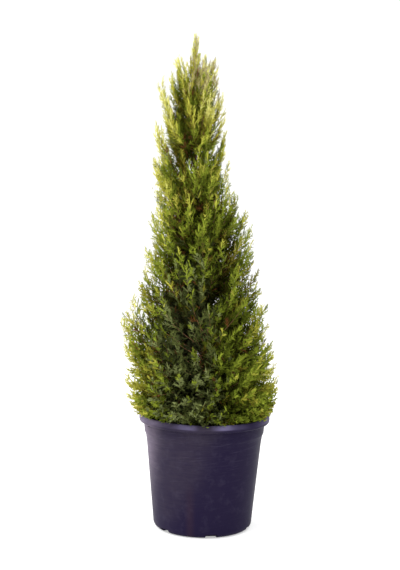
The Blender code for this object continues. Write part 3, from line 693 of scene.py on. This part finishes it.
farTips = (  # shoots that stand out furthest or fill thin places: across, depth, height, length, mm
    (-77, 0, 1070, 85), (-92, 10, 1028, 90), (-121, -10, 1012, 95), (9, 0, 1062, 95),
    (22, 10, 977, 90), (39, 0, 910, 100), (-126, 0, 914, 110), (85, 0, 724, 100),
    (-154, -10, 564, 105), (120, 0, 569, 105), (-194, 0, 490, 120), (153, 20, 361, 90),
    (162, 0, 325, 95), (-136, -30, 478, 95), (-148, 0, 446, 95), (-128, -50, 452, 90),
    (-140, -35, 420, 90), (88, -30, 548, 90), (104, -15, 520, 90), (100, -45, 498, 90),
    (118, -20, 482, 90), (-12, -5, 1078, 75), (-3, 8, 1066, 75), (-80, 10, 1046, 85),
    (-70, -4, 1072, 75), (-87, -6, 1002, 90), (17, 4, 1032, 85), (-106, -40, 702, 85),
    (-118, -30, 674, 90), (-124, 20, 652, 90), (-113, -50, 642, 90), (-127, -10, 630, 90),
    (-120, -35, 600, 90), (114, 0, 548, 85), (119, -10, 530, 85), (121, 20, 514, 80),
    (-146, -10, 578, 80), (-155, 0, 552, 85), (-150, -30, 534, 85), (-129, -10, 842, 80),
    (-123, 10, 812, 80), (35, 0, 905, 80), (31, -10, 884, 80), (8, -6, 1072, 70), (-93, 0, 988, 85),
)
leaderTips = (  # distance below the very top, across, depth, length, mm
    (6, 0, 0, 88), (9, 2, -1, 80), (15, -3, 1, 78), (21, 6, 0, 74), (30, 3, -3, 70), (42, -4, 4, 54),
    (52, 10, 8, 58), (60, -10, -7, 60), (70, 4, -12, 64), (74, -16, 6, 66), (82, 16, 2, 68),
)
spray = {
    "length": 0.028,  # on a shoot of that full length
    "fullShoot": 0.095, "lengths": (0.75, 1.2), "tipShorter": 0.42, "lastLonger": 1.3,
    "firstAt": 0.06, "lastAt": 0.985, "crowding": 0.85, "angleLow": 62.0, "angleHigh": 36.0,
    "angles": (0.8, 1.15), "lastAngle": 0.03, "turnJitter": 0.3, "lift": 0.22,
    "liftZone": (0.27, 0.45),
    "slender": 0.48,  # towards the top they lie closer to the shoot and are shorter
    "slenderZone": (0.66, 1.00), "slenderShort": 0.3, "cords": 6, "innerCords": 4, "cordAngle": 42.0,
    "cordAngles": (0.75, 1.25), "cordAim": 0.16,
    "cordAt": (0.12, 0.72, 0.03),  # first place, how far they run along, jitter
    "cordShare": (0.60, 0.42),  # length at the foot, and how much less at the tip
    "fanTilt": 0.7, "width": ((0.25, 0.0030), (0.60, 0.0026), (0.85, 0.0022), (1.10, 0.0018)),
    "proud": 0.006,
    "clear": (0.001, 0.0015, 0.002, 0.003),  # over the rim, outside it, inside it, above the compost
    "most": 6800,  # sprays in one piece
}
leafTones = {  # lit and shaded copies of the leaf colour, painted light and shade: shaded inside, greyer low down, straw-yellow and dry at the lit tips, some plumes warmer
    "shade": "2c2f08", "deep": "475014", "grey_shade": "2c2f1a", "grey_deep": "464d29",
    "grey_green": "52592d", "grey_light": "777f4d", "green": "667222", "fresh": "84902e",
    "yellow_green": "adad44", "pale_tip": "cecb72", "brown_shade": "3a2f0b", "deep_olive": "534c11",
    "olive": "6f6c22", "warm": "908e32", "straw": "b3af46", "dry_tip": "aaa070", "rust": "6b4626",
}
oldShoots = (  # red-brown older growth at the front: foot across, its height, top across, its height
    (-0.049, 0.836, -0.059, 0.902),
    (-0.040, 0.746, -0.036, 0.768),
    (-0.104, 0.402, -0.112, 0.432),
    (0.012, 0.340, 0.014, 0.362),
)
oldGrowth = {
    "halfWidth": 0.0022, "before": 0.01,  # at least this far in front of the crown's middle
    "outward": 0.3,  # and this share of the reach out
}
# painted light and shade on the sprays: lit from the left and above, shaded inside
toneLook = {  # heights in metres; across runs from -1 at the crown's left edge to 1 at its right
    "steps": (0.17, 0.29, 0.44, 0.60, 0.78),  # the light at which each tone gives way to the next
    "green": ("shade", "deep", "green", "fresh", "yellow_green", "pale_tip"),
    "warm": ("brown_shade", "deep_olive", "olive", "warm", "straw", "pale_tip"),
    "dull": ("grey_shade", "grey_deep", "grey_green", "grey_light", "fresh", "grey_light"),
    "zones": {  # heights where each starts and is full, and where some fade and are gone
        "foot": (0.26, 0.31), "skirt": (0.34, 0.44), "low": (0.62, 0.70), "high": (0.50, 0.92),
        "even": (0.50, 0.58, 0.72, 0.82), "dim": (0.60, 0.72, 0.86, 0.95),
        "shoulder": (0.90, 0.94, 0.97, 1.00), "top": (0.86, 1.04), "cap": (0.88, 1.04),
        "summit": (0.96, 1.04), "crest": (1.00, 1.06), "clean": (0.44, 0.76), "warm": (0.70, 1.00),
        "dry": (0.97, 1.03),
    },
    "heights": (0.23, 1.12),
    "outward": (0.35, 1.0),  # from the shaded inside to the lit outside
    "rim": (0.78, 1.00),
    "evenRim": 1.3,  # how much of the rim's light is taken away half way up
    "rightSide": (0.7, 0.4),  # share of the left side's light, and how much less where it is dim
    "sideCurve": 1.5,
    "rightDimFrom": 0.2, "rightLow": (-0.10, 0.20), "leftSkirt": (-0.6, -0.05),  # across
    "light": {  # how much lighter each place is painted: painted light from the left and above
        "all": 0.08, "edge": 0.13, "edgeTip": 0.27, "edgeSide": 0.16, "edgeSideHigh": 0.06,
        "edgeHigh": 0.07, "high": 0.09, "top": 0.16, "foot": -0.09, "leftRim": 0.14, "rightRim": 0.07,
        "rightDim": -0.05, "rightLow": -0.05, "leftSkirt": 0.04, "rightShoulder": 0.05, "plume": 0.08,
    },
    "lightNoise": (0.065, 0.05),  # everywhere, and more high up
    "most": (0.57, 0.5, 0.18),  # in the middle, more at the sides, more at the top
    "least": (0.04, 0.18, 0.10),  # at the foot, more high up, more at the summit
    "warmth": (-0.32, 0.65, 0.70, -0.50, 0.6, 0.2),  # all, high up, sides, less at high sides, plume, noise
    "warmFrom": 0.55,
    "grey": (-0.20, 1.9, 0.20, 0.18),  # middle across, fall to its sides, plume, noise
    "greyFrom": 0.52,
    "dry": (0.52, 0.44),  # share of the lit tips at the top, and how light they are at least
    "dryAcross": (-0.50, 0.40),
    "rust": (0.03, 0.6),  # share of the sprays on the lower part of a shoot
}


def sidesOf(directions, rng, shape=None):
    across = unit(np.cross(directions, unit(rng.normal(size=shape or directions.shape))))
    return across, np.cross(directions, across)


def shootRows(*rows):
    return dict(zip(("stem", "foot", "bend", "tip", "size", "inner", "far"), rows))


def shootsTo(mass, tips, sizes, inner, rng, far=False):
    # each leaves the stem of its mass, bends and turns up to its tip
    axis = mass["tip"] - mass["root"]
    length = np.linalg.norm(axis)
    axis = axis / length
    count, heights = len(tips), tips[:, 2]
    azimuth = np.arctan2(tips[:, 1], tips[:, 0] - crownMiddle(heights))
    azimuth += np.radians(rng.uniform(-1, 1, count) * shoot["turnJitter"])
    steep = byHeight(shoot["steepness"], heights) + rng.uniform(-1, 1, count) * shoot["steepnessJitter"]
    steep = np.radians(np.minimum(steep, shoot["steepest"]))
    heading = np.stack([np.cos(azimuth) * np.cos(steep), np.sin(azimuth) * np.cos(steep), np.sin(steep)], 1)
    bend = tips - heading * (sizes * shoot["upper"])[:, None]
    back, first, last = shoot["leaves"]
    share = np.clip((bend - mass["root"]) @ axis / length - back, first, last)
    stems = mass["root"] + axis * (length * share)[:, None]
    away = stems - bend
    run = np.linalg.norm(away, axis=1, keepdims=True)
    feet = bend + away / np.maximum(run, 1e-6) * np.minimum(run, sizes[:, None] * shoot["lower"])
    return shootRows(stems, feet, bend, tips, sizes, inner, np.full(count, far))


def planShoots(mass, number):
    # shoots all round the stem to the edge of the mass's own space, and some that end inside the crown
    rng = np.random.default_rng(shoot["seed"] + number)
    axis = unit(mass["tip"] - mass["root"])
    centre = (mass["root"] + mass["tip"]) / 2
    order = np.arange(mass["plumes"]) + 0.5
    along = 1 - shoot["spread"] * order / mass["plumes"]
    wide = np.sqrt(1 - along**2)
    across = unit(np.cross(axis, shoot["seam"]))
    turns = order * goldenAngle + rng.uniform(*shoot["turns"], len(order))
    directions = along[:, None] * axis + wide[:, None] * turned(turns, across, np.cross(axis, across))
    inner = np.arange(len(order)) % shoot["innerEvery"] == shoot["innerEvery"] - 1
    kept = directions @ mass["out"] > shoot["backward"][mass["tier"] >= shoot["upperFrom"]]
    directions, inner = directions[kept], inner[kept]
    space = spaceOf(mass, masses)
    reach = spaceReach(space, mass["proud"], centre, directions)
    innerShare, outerShare = (rng.uniform(*shoot[key], len(reach)) for key in ("innerReach", "outerReach"))
    tips = centre + directions * (reach * np.where(inner, innerShare, outerShare))[:, None]
    # a few short ones all round the foot of the stem close the middle of the crown
    foot = mass["root"] + (mass["tip"] - mass["root"]) * shoot["coreAt"]
    few = shoot["coreCount"][mass["tier"] >= shoot["topFrom"]]
    around = unit(rng.normal(size=(few, 3)) + shoot["coreForward"] * axis)
    far = spaceReach(space, 0.0, foot, around) * rng.uniform(*shoot["coreReach"], few)
    tips = leafySpots(np.vstack([tips, mass["tip"], foot + around * far[:, None]]))
    inner = np.concatenate([inner, [False], np.ones(few, bool)])
    sizes = byHeight(shoot["length"], tips[:, 2]) * rng.uniform(*shoot["sizes"], len(tips))
    return shootsTo(mass, tips, sizes, inner, rng)


def skirtShoots():
    # low shoots that lie over the rim all round the pot
    rng = np.random.default_rng(shoot["seed"] + 100)
    low = [mass for mass in masses if mass["tier"] == 0]
    bearings = np.array([math.atan2(mass["out"][1], mass["out"][0]) for mass in low])
    turns = np.arange(skirt["count"]) * goldenAngle
    radius = rng.uniform(*skirt["radius"], len(turns))
    heights = rng.uniform(*skirt["height"], len(turns))
    heights = np.where(radius < skirt["inside"], np.maximum(heights, skirt["lifted"]), heights)
    tips = np.stack([radius * np.cos(turns), radius * np.sin(turns), heights], 1)
    apart = np.abs((turns[:, None] - bearings + np.pi) % (2 * np.pi) - np.pi)
    sets = []
    for index, mass in enumerate(low):
        own = tips[apart.argmin(1) == index]
        sets.append(shootsTo(mass, own, np.full(len(own), skirt["size"]), np.zeros(len(own), bool), rng))
    return sets


def farShoots():
    # each ends a little short of its place, so that its last spray reaches it
    rng = np.random.default_rng(shoot["seed"] + 200)
    sets = []
    for x, y, z, size in np.array(farTips) / 1000:
        steep = math.radians(byHeight(shoot["steepness"], z))
        side = 1 if x > crownMiddle(z) else -1
        heading = np.array((side * math.cos(steep), 0.0, math.sin(steep)))
        tip = np.array((x, y, z)) - shoot["farShort"] * size * heading
        root = up * shoot["farRoot"]
        nearest = min(masses[:-1], key=lambda mass: np.linalg.norm(mass["tip"] - root - tip))
        sets.append(shootsTo(nearest, tip[None], np.array([size]), np.zeros(1, bool), rng, far=True))
    return sets


def leaderShoots():
    rng = np.random.default_rng(shoot["seed"])
    root, tip = masses[-1]["root"], masses[-1]["tip"]
    drop, x, y, sizes = np.array(leaderTips).T / 1000
    tips = tip + np.stack([x, y, -drop], 1)
    stems = np.repeat(root[None], len(tips), 0)
    bends = (stems + tips) / 2 + rng.uniform(*shoot["leaderBend"], (len(tips), 3)) * (1, 1, 0)
    plain = np.zeros(len(tips), bool)
    return shootRows(stems, (stems + bends) / 2, bends, tips, sizes, plain, plain)


def growSprays(shoots, rng):
    # sprays all round each shoot, longest near its foot; each is a row of one array
    count, per = len(shoots["tip"]), shoot["sprays"]
    shares = (np.arange(per) + rng.uniform(0, 1, (count, per))) / per
    shares = spray["firstAt"] + (1 - spray["firstAt"]) * shares ** spray["crowding"]
    shares[:, -1] = spray["lastAt"]
    curve = foot, bend, tip = [shoots[key][:, None, :] for key in ("foot", "bend", "tip")]
    places = bezierPoint(curve, shares)
    lines = unit((1 - shares[..., None]) * (bend - foot) + shares[..., None] * (tip - bend))
    across, over = sidesOf(lines, rng, (count, 1, 3))
    turns = np.arange(per) * goldenAngle + rng.uniform(0, 2 * np.pi, (count, 1))
    turns = turns + rng.uniform(-1, 1, (count, per)) * spray["turnJitter"]
    angles = np.radians(spray["angleLow"] + (spray["angleHigh"] - spray["angleLow"]) * shares)
    slender = spray["slender"] * rise(shoots["tip"][:, 2:3], *spray["slenderZone"])
    angles *= rng.uniform(*spray["angles"], (count, per)) * (1 - slender)
    angles[:, -1] = spray["lastAngle"]
    directions = turned(angles, lines, turned(turns, across, over))
    directions = unit(directions + up * spray["lift"] * rise(places[..., 2:3], *spray["liftZone"]))
    lengths = spray["length"] * (1 - spray["tipShorter"] * shares**2)
    lengths *= rng.uniform(*spray["lengths"], (count, per))
    lengths *= shoots["size"][:, None] / spray["fullShoot"] * (1 - spray["slenderShort"] * slender)
    lengths[:, -1] *= spray["lastLonger"]
    parts = {"place": places, "direction": directions, "length": lengths, "share": shares, "line": lines}
    parts["plume"], parts["warmth"] = (np.repeat(rng.normal(size=(count, 1)), per, 1) for _ in range(2))
    for key in ("inner", "far"):
        parts[key] = np.repeat(shoots[key][:, None], per, 1)
    return {key: values.reshape(-1, *values.shape[2:]) for key, values in parts.items()}


def clearOfPot(spots):
    # true where a point is outside the rim, the wall and the compost
    radius, height = np.hypot(spots[:, 0], spots[:, 1]), spots[:, 2]
    over, beside, within, above = spray["clear"]
    outside = (radius > pot["rimRadius"] + beside) & (height > skirt["overRim"])
    inside = (radius < pot["rimInner"] - within) & (height > compost["top"] + above)
    return ((height > pot["height"] + over) | outside | inside) & (height < crown["top"])


def inCrown(spots):
    # true up to a little past the outermost tips
    middle = crownMiddle(spots[:, 2])
    return np.hypot(spots[:, 0] - middle, spots[:, 1]) < crownReach(spots[:, 2]) + spray["proud"]


def toneOf(sprays, rng):
    # the colour of each spray, with painted light and shade: darker inside and low in the middle, lighter
    # at the sides, tips and top
    look, count = toneLook, len(sprays["place"])
    tips = sprays["place"] + sprays["direction"] * sprays["length"][:, None]
    heights = np.clip(tips[:, 2], *look["heights"])
    across = (tips[:, 0] - crownMiddle(heights)) / crownReach(heights)
    outward = np.hypot(across, tips[:, 1] / crownReach(heights))
    zone = {name: rise(heights, *ends) for name, ends in look["zones"].items()}
    high, left, right = zone["high"], across < 0, across > 0
    edge = np.maximum(rise(outward, *look["outward"]), zone["crest"])
    share, dimmer = look["rightSide"]
    side = np.where(left, 1.0, share - dimmer * zone["dim"]) * np.abs(across) ** look["sideCurve"]
    side = side.clip(0, 1)
    rim = (1 - look["evenRim"] * zone["even"]) * rise(np.abs(across), *look["rim"])
    skirtFrom, skirtTo = look["leftSkirt"]
    places = {
        "all": 1.0, "edge": edge, "edgeTip": edge * sprays["share"], "edgeSide": edge * side,
        "edgeSideHigh": edge * side * high, "edgeHigh": edge * high, "high": high, "top": zone["top"],
        "foot": 1 - zone["foot"], "leftRim": rim * left, "rightRim": rim * right,
        "rightDim": zone["dim"] * (across > look["rightDimFrom"]),
        "rightLow": rise(across, *look["rightLow"]) * (1 - zone["low"]),
        "leftSkirt": ((across > skirtFrom) & (across < skirtTo)) * (1 - zone["skirt"]),
        "rightShoulder": zone["shoulder"] * right, "plume": sprays["plume"],
    }
    everywhere, highUp = look["lightNoise"]
    light = sum(look["light"][name] * place for name, place in places.items())
    light += (everywhere + highUp * high) * rng.normal(size=count)
    middle, sides, top = look["most"]
    light = np.minimum(light, middle + sides * np.abs(across) + top * zone["cap"])
    foot, upper, summit = look["least"]
    light = np.maximum(light, foot + upper * high + summit * zone["summit"])
    steps = np.searchsorted(look["steps"], light)
    green, warm, dull = (np.array(look[kind])[steps] for kind in ("green", "warm", "dull"))
    centre, fall, plume, spread = look["grey"]
    grey = (1 - fall * np.abs(across - centre) ** look["sideCurve"]) * (1 - zone["clean"])
    grey += plume * sprays["plume"] + spread * rng.normal(size=count)
    base, highUp, sides, highSides, plume, spread = look["warmth"]
    warmth = base + highUp * zone["warm"] + (sides + highSides * high) * side + plume * sprays["warmth"]
    tones = np.where(warmth + spread * rng.normal(size=count) > look["warmFrom"], warm, green)
    tones = np.where(grey > look["greyFrom"], dull, tones)
    most, litFrom = look["dry"]
    dry = most * zone["dry"] * rise(across, *look["dryAcross"])
    tones[(rng.uniform(size=count) < dry) & (light > litFrom)] = "dry_tip"
    few, lowerPart = look["rust"]
    tones[(rng.uniform(size=count) < few * (1 + high)) & (sprays["share"] < lowerPart)] = "rust"
    for footX, footZ, topX, topZ in oldShoots:
        along = (sprays["place"][:, 2] - footZ) / (topZ - footZ)
        beside = np.abs(sprays["place"][:, 0] - footX - along * (topX - footX))
        inFront = (sprays["place"][:, 1] < -oldGrowth["before"]) & (outward > oldGrowth["outward"])
        tones[inFront & (along > 0) & (along < 1) & (beside < oldGrowth["halfWidth"])] = "rust"
    return tones


def cordMeshes(starts, directions, lengths, far, rng):
    # one pointed three-sided cord a row: closed, widest at its root
    ends = starts + directions * lengths[:, None]
    good = clearOfPot(ends) & clearOfPot((starts + ends) / 2) & (far | inCrown(ends))
    starts, directions, ends = starts[good], directions[good], ends[good]
    across, over = sidesOf(directions, rng)
    half = byHeight(spray["width"], starts[:, 2])[:, None] / 2
    corners = [starts + half * turned(turn, across, over) for turn in threeTurns]
    vertices = np.stack([*corners, ends], 1).reshape(-1, 3)
    base = np.arange(len(starts))[:, None, None] * 4
    faces = base + np.array(((0, 2, 1), (0, 1, 3), (1, 2, 3), (2, 0, 3)))
    return vertices, faces.reshape(-1, 3)


def sprayMeshes(sprays, rng):
    # the main cord of each spray and its side cords in one fan
    main, line = sprays["direction"], sprays["line"]
    parts = [cordMeshes(sprays["place"], main, sprays["length"], sprays["far"], rng)]
    fanSide = np.cross(main, unit(rng.normal(size=main.shape)))
    fanSide = unit(fanSide * spray["fanTilt"] + line)
    fanSide = unit(fanSide - main * (fanSide * main).sum(1, keepdims=True))
    firstAt, run, jitter = spray["cordAt"]
    longest, shorter = spray["cordShare"]
    keys = ("place", "direction", "length", "far")
    for k in range(spray["cords"]):
        own = ~sprays["inner"] if k >= spray["innerCords"] else slice(None)
        starts, directions, lengths, far = (sprays[key][own] for key in keys)
        at = firstAt + run * k / spray["cords"] + rng.uniform(-1, 1, len(starts)) * jitter
        angle = np.radians(spray["cordAngle"]) * rng.uniform(*spray["cordAngles"], len(starts))
        aim = unit(turned(angle, directions, fanSide[own] * (1 if k % 2 else -1)))
        aim = unit(aim + spray["cordAim"] * rng.normal(size=aim.shape))
        size = lengths * (longest - shorter * at) * rng.uniform(*spray["lengths"], len(starts))
        parts.append(cordMeshes(starts + directions * (lengths * at)[:, None], aim, size, far, rng))
    return joined(parts)


def twigMeshes(shoots, rng):
    # the woody line of each shoot, from its stem almost to its tip
    count, rings = len(shoots["tip"]), shoot["rings"]
    shares = np.linspace(0, shoot["woody"], rings)
    curve = [shoots[key][:, None, :] for key in ("stem", "bend", "tip")]
    points = bezierPoint(curve, np.broadcast_to(shares, (count, rings)))
    across, over = sidesOf(unit(np.gradient(points, axis=1)), rng, (count, 1, 3))
    radii = np.linspace(shoot["rootRadius"], shoot["tipRadius"], rings)[None, :, None]
    rows = [points + radii * turned(turn, across, over) for turn in threeTurns]
    last = 3 * (rings - 1)
    one = np.vstack([tubeFaces(rings, 3, fans=False), (0, 2, 1), (last, last + 1, last + 2)])
    faces = np.arange(count)[:, None, None] * 3 * rings + one
    return np.stack(rows, 2).reshape(-1, 3), faces.reshape(-1, 3)


# Live scale leaves: tiny overlapping scales pressed to the cord, waxy but matt, so barely any shine
leafLook = {
    "roughness": 0.7, "ior": 1.45, "specular": 0.03, "patchMm": (7.0, 7.0, 7.0), "detail": 4.0,
    "stops": (0.34, 0.66),
    "strengths": (0.68, 1.3),  # the darker and the paler places
    "scaleMm": 1.5, "relief": (0.5, 0.4),
}
leafSockets = {"IOR": leafLook["ior"], "Specular_IOR_Level": leafLook["specular"]}
# Young wood: smooth thin reddish-brown bark on the shoots
youngLook = {
    "base": "6e4630", "roughness": 0.7, "patchMm": (7.142857, 7.142857, 7.142857), "detail": 5.0,
    "stops": (0.35, 0.68), "colours": (("65402a", 1.0), ("9c6c48", 1.0)), "relief": (0.4, 0.4),
}

rng = np.random.default_rng(shoot["seed"] + 1000)
shootSets = [planShoots(mass, number) for number, mass in enumerate(masses[:-1])]
shootSets += [*skirtShoots(), *farShoots(), leaderShoots()]
shoots = {key: np.concatenate([rows[key] for rows in shootSets]) for key in shootSets[0]}
sprays = growSprays(shoots, rng)
tones = toneOf(sprays, rng)
print("foliage:", len(shoots["tip"]), "shoots,", len(tones), "sprays")

total = 0
# one material for each tone: lit and shaded copies of the leaf colour, as painted light and shade
for tone, hexColour in leafTones.items():
    colours = [(hexColour, strength) for strength in leafLook["strengths"]]
    look = {**leafLook, "base": hexColour, "colours": colours}
    leaves = patternedMaterial(f"cypress_scale_leaf_{tone}", look, **leafSockets)
    rows = np.flatnonzero(tones == tone)
    parts = -(-len(rows) // spray["most"])
    for part, own in enumerate(np.array_split(rows, max(parts, 1))):
        vertices, faces = sprayMeshes({key: values[own] for key, values in sprays.items()}, rng)
        piece = addPiece(f"sprays_{tone}_{part + 1}", vertices, faces, leaves, smooth=False)
        standsFor(piece, massNames)
        total += len(faces)
        print("  sprays", tone, part + 1, len(faces), "triangles")
print("  leaf triangles in all", total)

rings, sides, relief = limbs["stem"]
stemRadii = np.linspace(stem["rootRadius"], stem["tipRadius"], rings)
stemParts = []
for mass in masses:
    points = mass["root"] + np.linspace(0, stem["share"], rings)[:, None] * (mass["tip"] - mass["root"])
    stemParts.append(limbMesh(points, stemRadii, sides, relief))
youngBark = patternedMaterial("young_cypress_wood", youngLook)
twigParts = joined([twigMeshes(shoots, rng), *stemParts])
standsFor(addPiece("twigs", *twigParts, youngBark), massNames)
print("twigs:", len(twigParts[1]), "triangles")


# Studio: pale matt light table that curves up behind, soft light from the left and above

studio = {
    "floor": "d2d2d2", "floorGlow": 0.42, "floorHeight": -0.0002, "floorFront": -8.0,
    "halfWidth": 8.0, "curveFoot": 3.6, "curveRadius": 3.0, "height": 7.0, "sky": 1.04,
    "roughness": 0.95, "specular": 0.1, "curveSteps": 30,
    "lights": (  # name, place, aim, size, watts
        ("left_back", (-1.7, 1.5, 1.4), (0, 0, 0.4), 1.4, 50),
        ("left_side", (-2.2, 0.1, 0.7), (0, 0, 0.3), 1.5, 22),
        ("right_back", (1.6, 1.5, 1.5), (0, 0, 0.8), 1.0, 7),
        ("top_left", (-0.8, -1.2, 2.4), (0, 0, 0.3), 0.4, 22),
        ("top_right", (0.7, -1.2, 2.4), (0, 0, 0.3), 0.4, 16),
    ),
}


def backdrop():
    foot, radius, level = studio["curveFoot"], studio["curveRadius"], studio["floorHeight"]
    line = [(studio["floorFront"], level), (foot, level)]
    for angle in np.radians(np.linspace(3, 90, studio["curveSteps"])):
        line.append((foot + radius * math.sin(angle), radius * (1 - math.cos(angle))))
    line.append((line[-1][0], studio["height"]))
    vertices = [(x, y, z) for y, z in line for x in (-studio["halfWidth"], studio["halfWidth"])]
    faces = [(2 * i, 2 * i + 1, 2 * i + 3, 2 * i + 2) for i in range(len(line) - 1)]
    glow = {"Emission_Color": (1.0, 1.0, 1.0, 1.0), "Emission_Strength": studio["floorGlow"]}
    glow["Specular_IOR_Level"] = studio["specular"]
    acrylic = newMaterial("matt_acrylic_light_table", studio["floor"], studio["roughness"], **glow)[0]
    addPiece("studio_floor", vertices, faces, acrylic)


def softLight(name, place, aim, size, watts):
    data = bpy.data.lights.new(name, "AREA")
    data.size, data.energy = size, watts
    light = addObject(name, data)
    light.location = place
    light.rotation_euler = (Vector(aim) - Vector(place)).to_track_quat("-Z", "Y").to_euler()


backdrop()
for row in studio["lights"]:
    softLight(*row)
world = bpy.data.worlds.new("studio_sky")
world.use_nodes = True
sky = world.node_tree.nodes["Background"].inputs
sky["Color"].default_value = (1.0, 1.0, 1.0, 1.0)
sky["Strength"].default_value = studio["sky"]
bpy.context.scene.world = world
bpy.context.scene.view_settings.view_transform = "Standard"

# Camera: a little above the middle, looking slightly down, at the photograph's angle
camera = {"place": (-0.0165, -2.4, 0.735), "pitch": 4.27, "roll": 1.2, "lens": 66.63, "sensor": 36.0}
cameraData = bpy.data.cameras.new("camera")
cameraData.lens, cameraData.sensor_width = camera["lens"], camera["sensor"]
cameraObject = addObject("camera", cameraData)
tilt = Matrix.Rotation(math.radians(90 - camera["pitch"]), 4, "X")
roll = Matrix.Rotation(math.radians(camera["roll"]), 4, "Z")
cameraObject.matrix_world = Matrix.Translation(camera["place"]) @ tilt @ roll
bpy.context.scene.camera = cameraObject
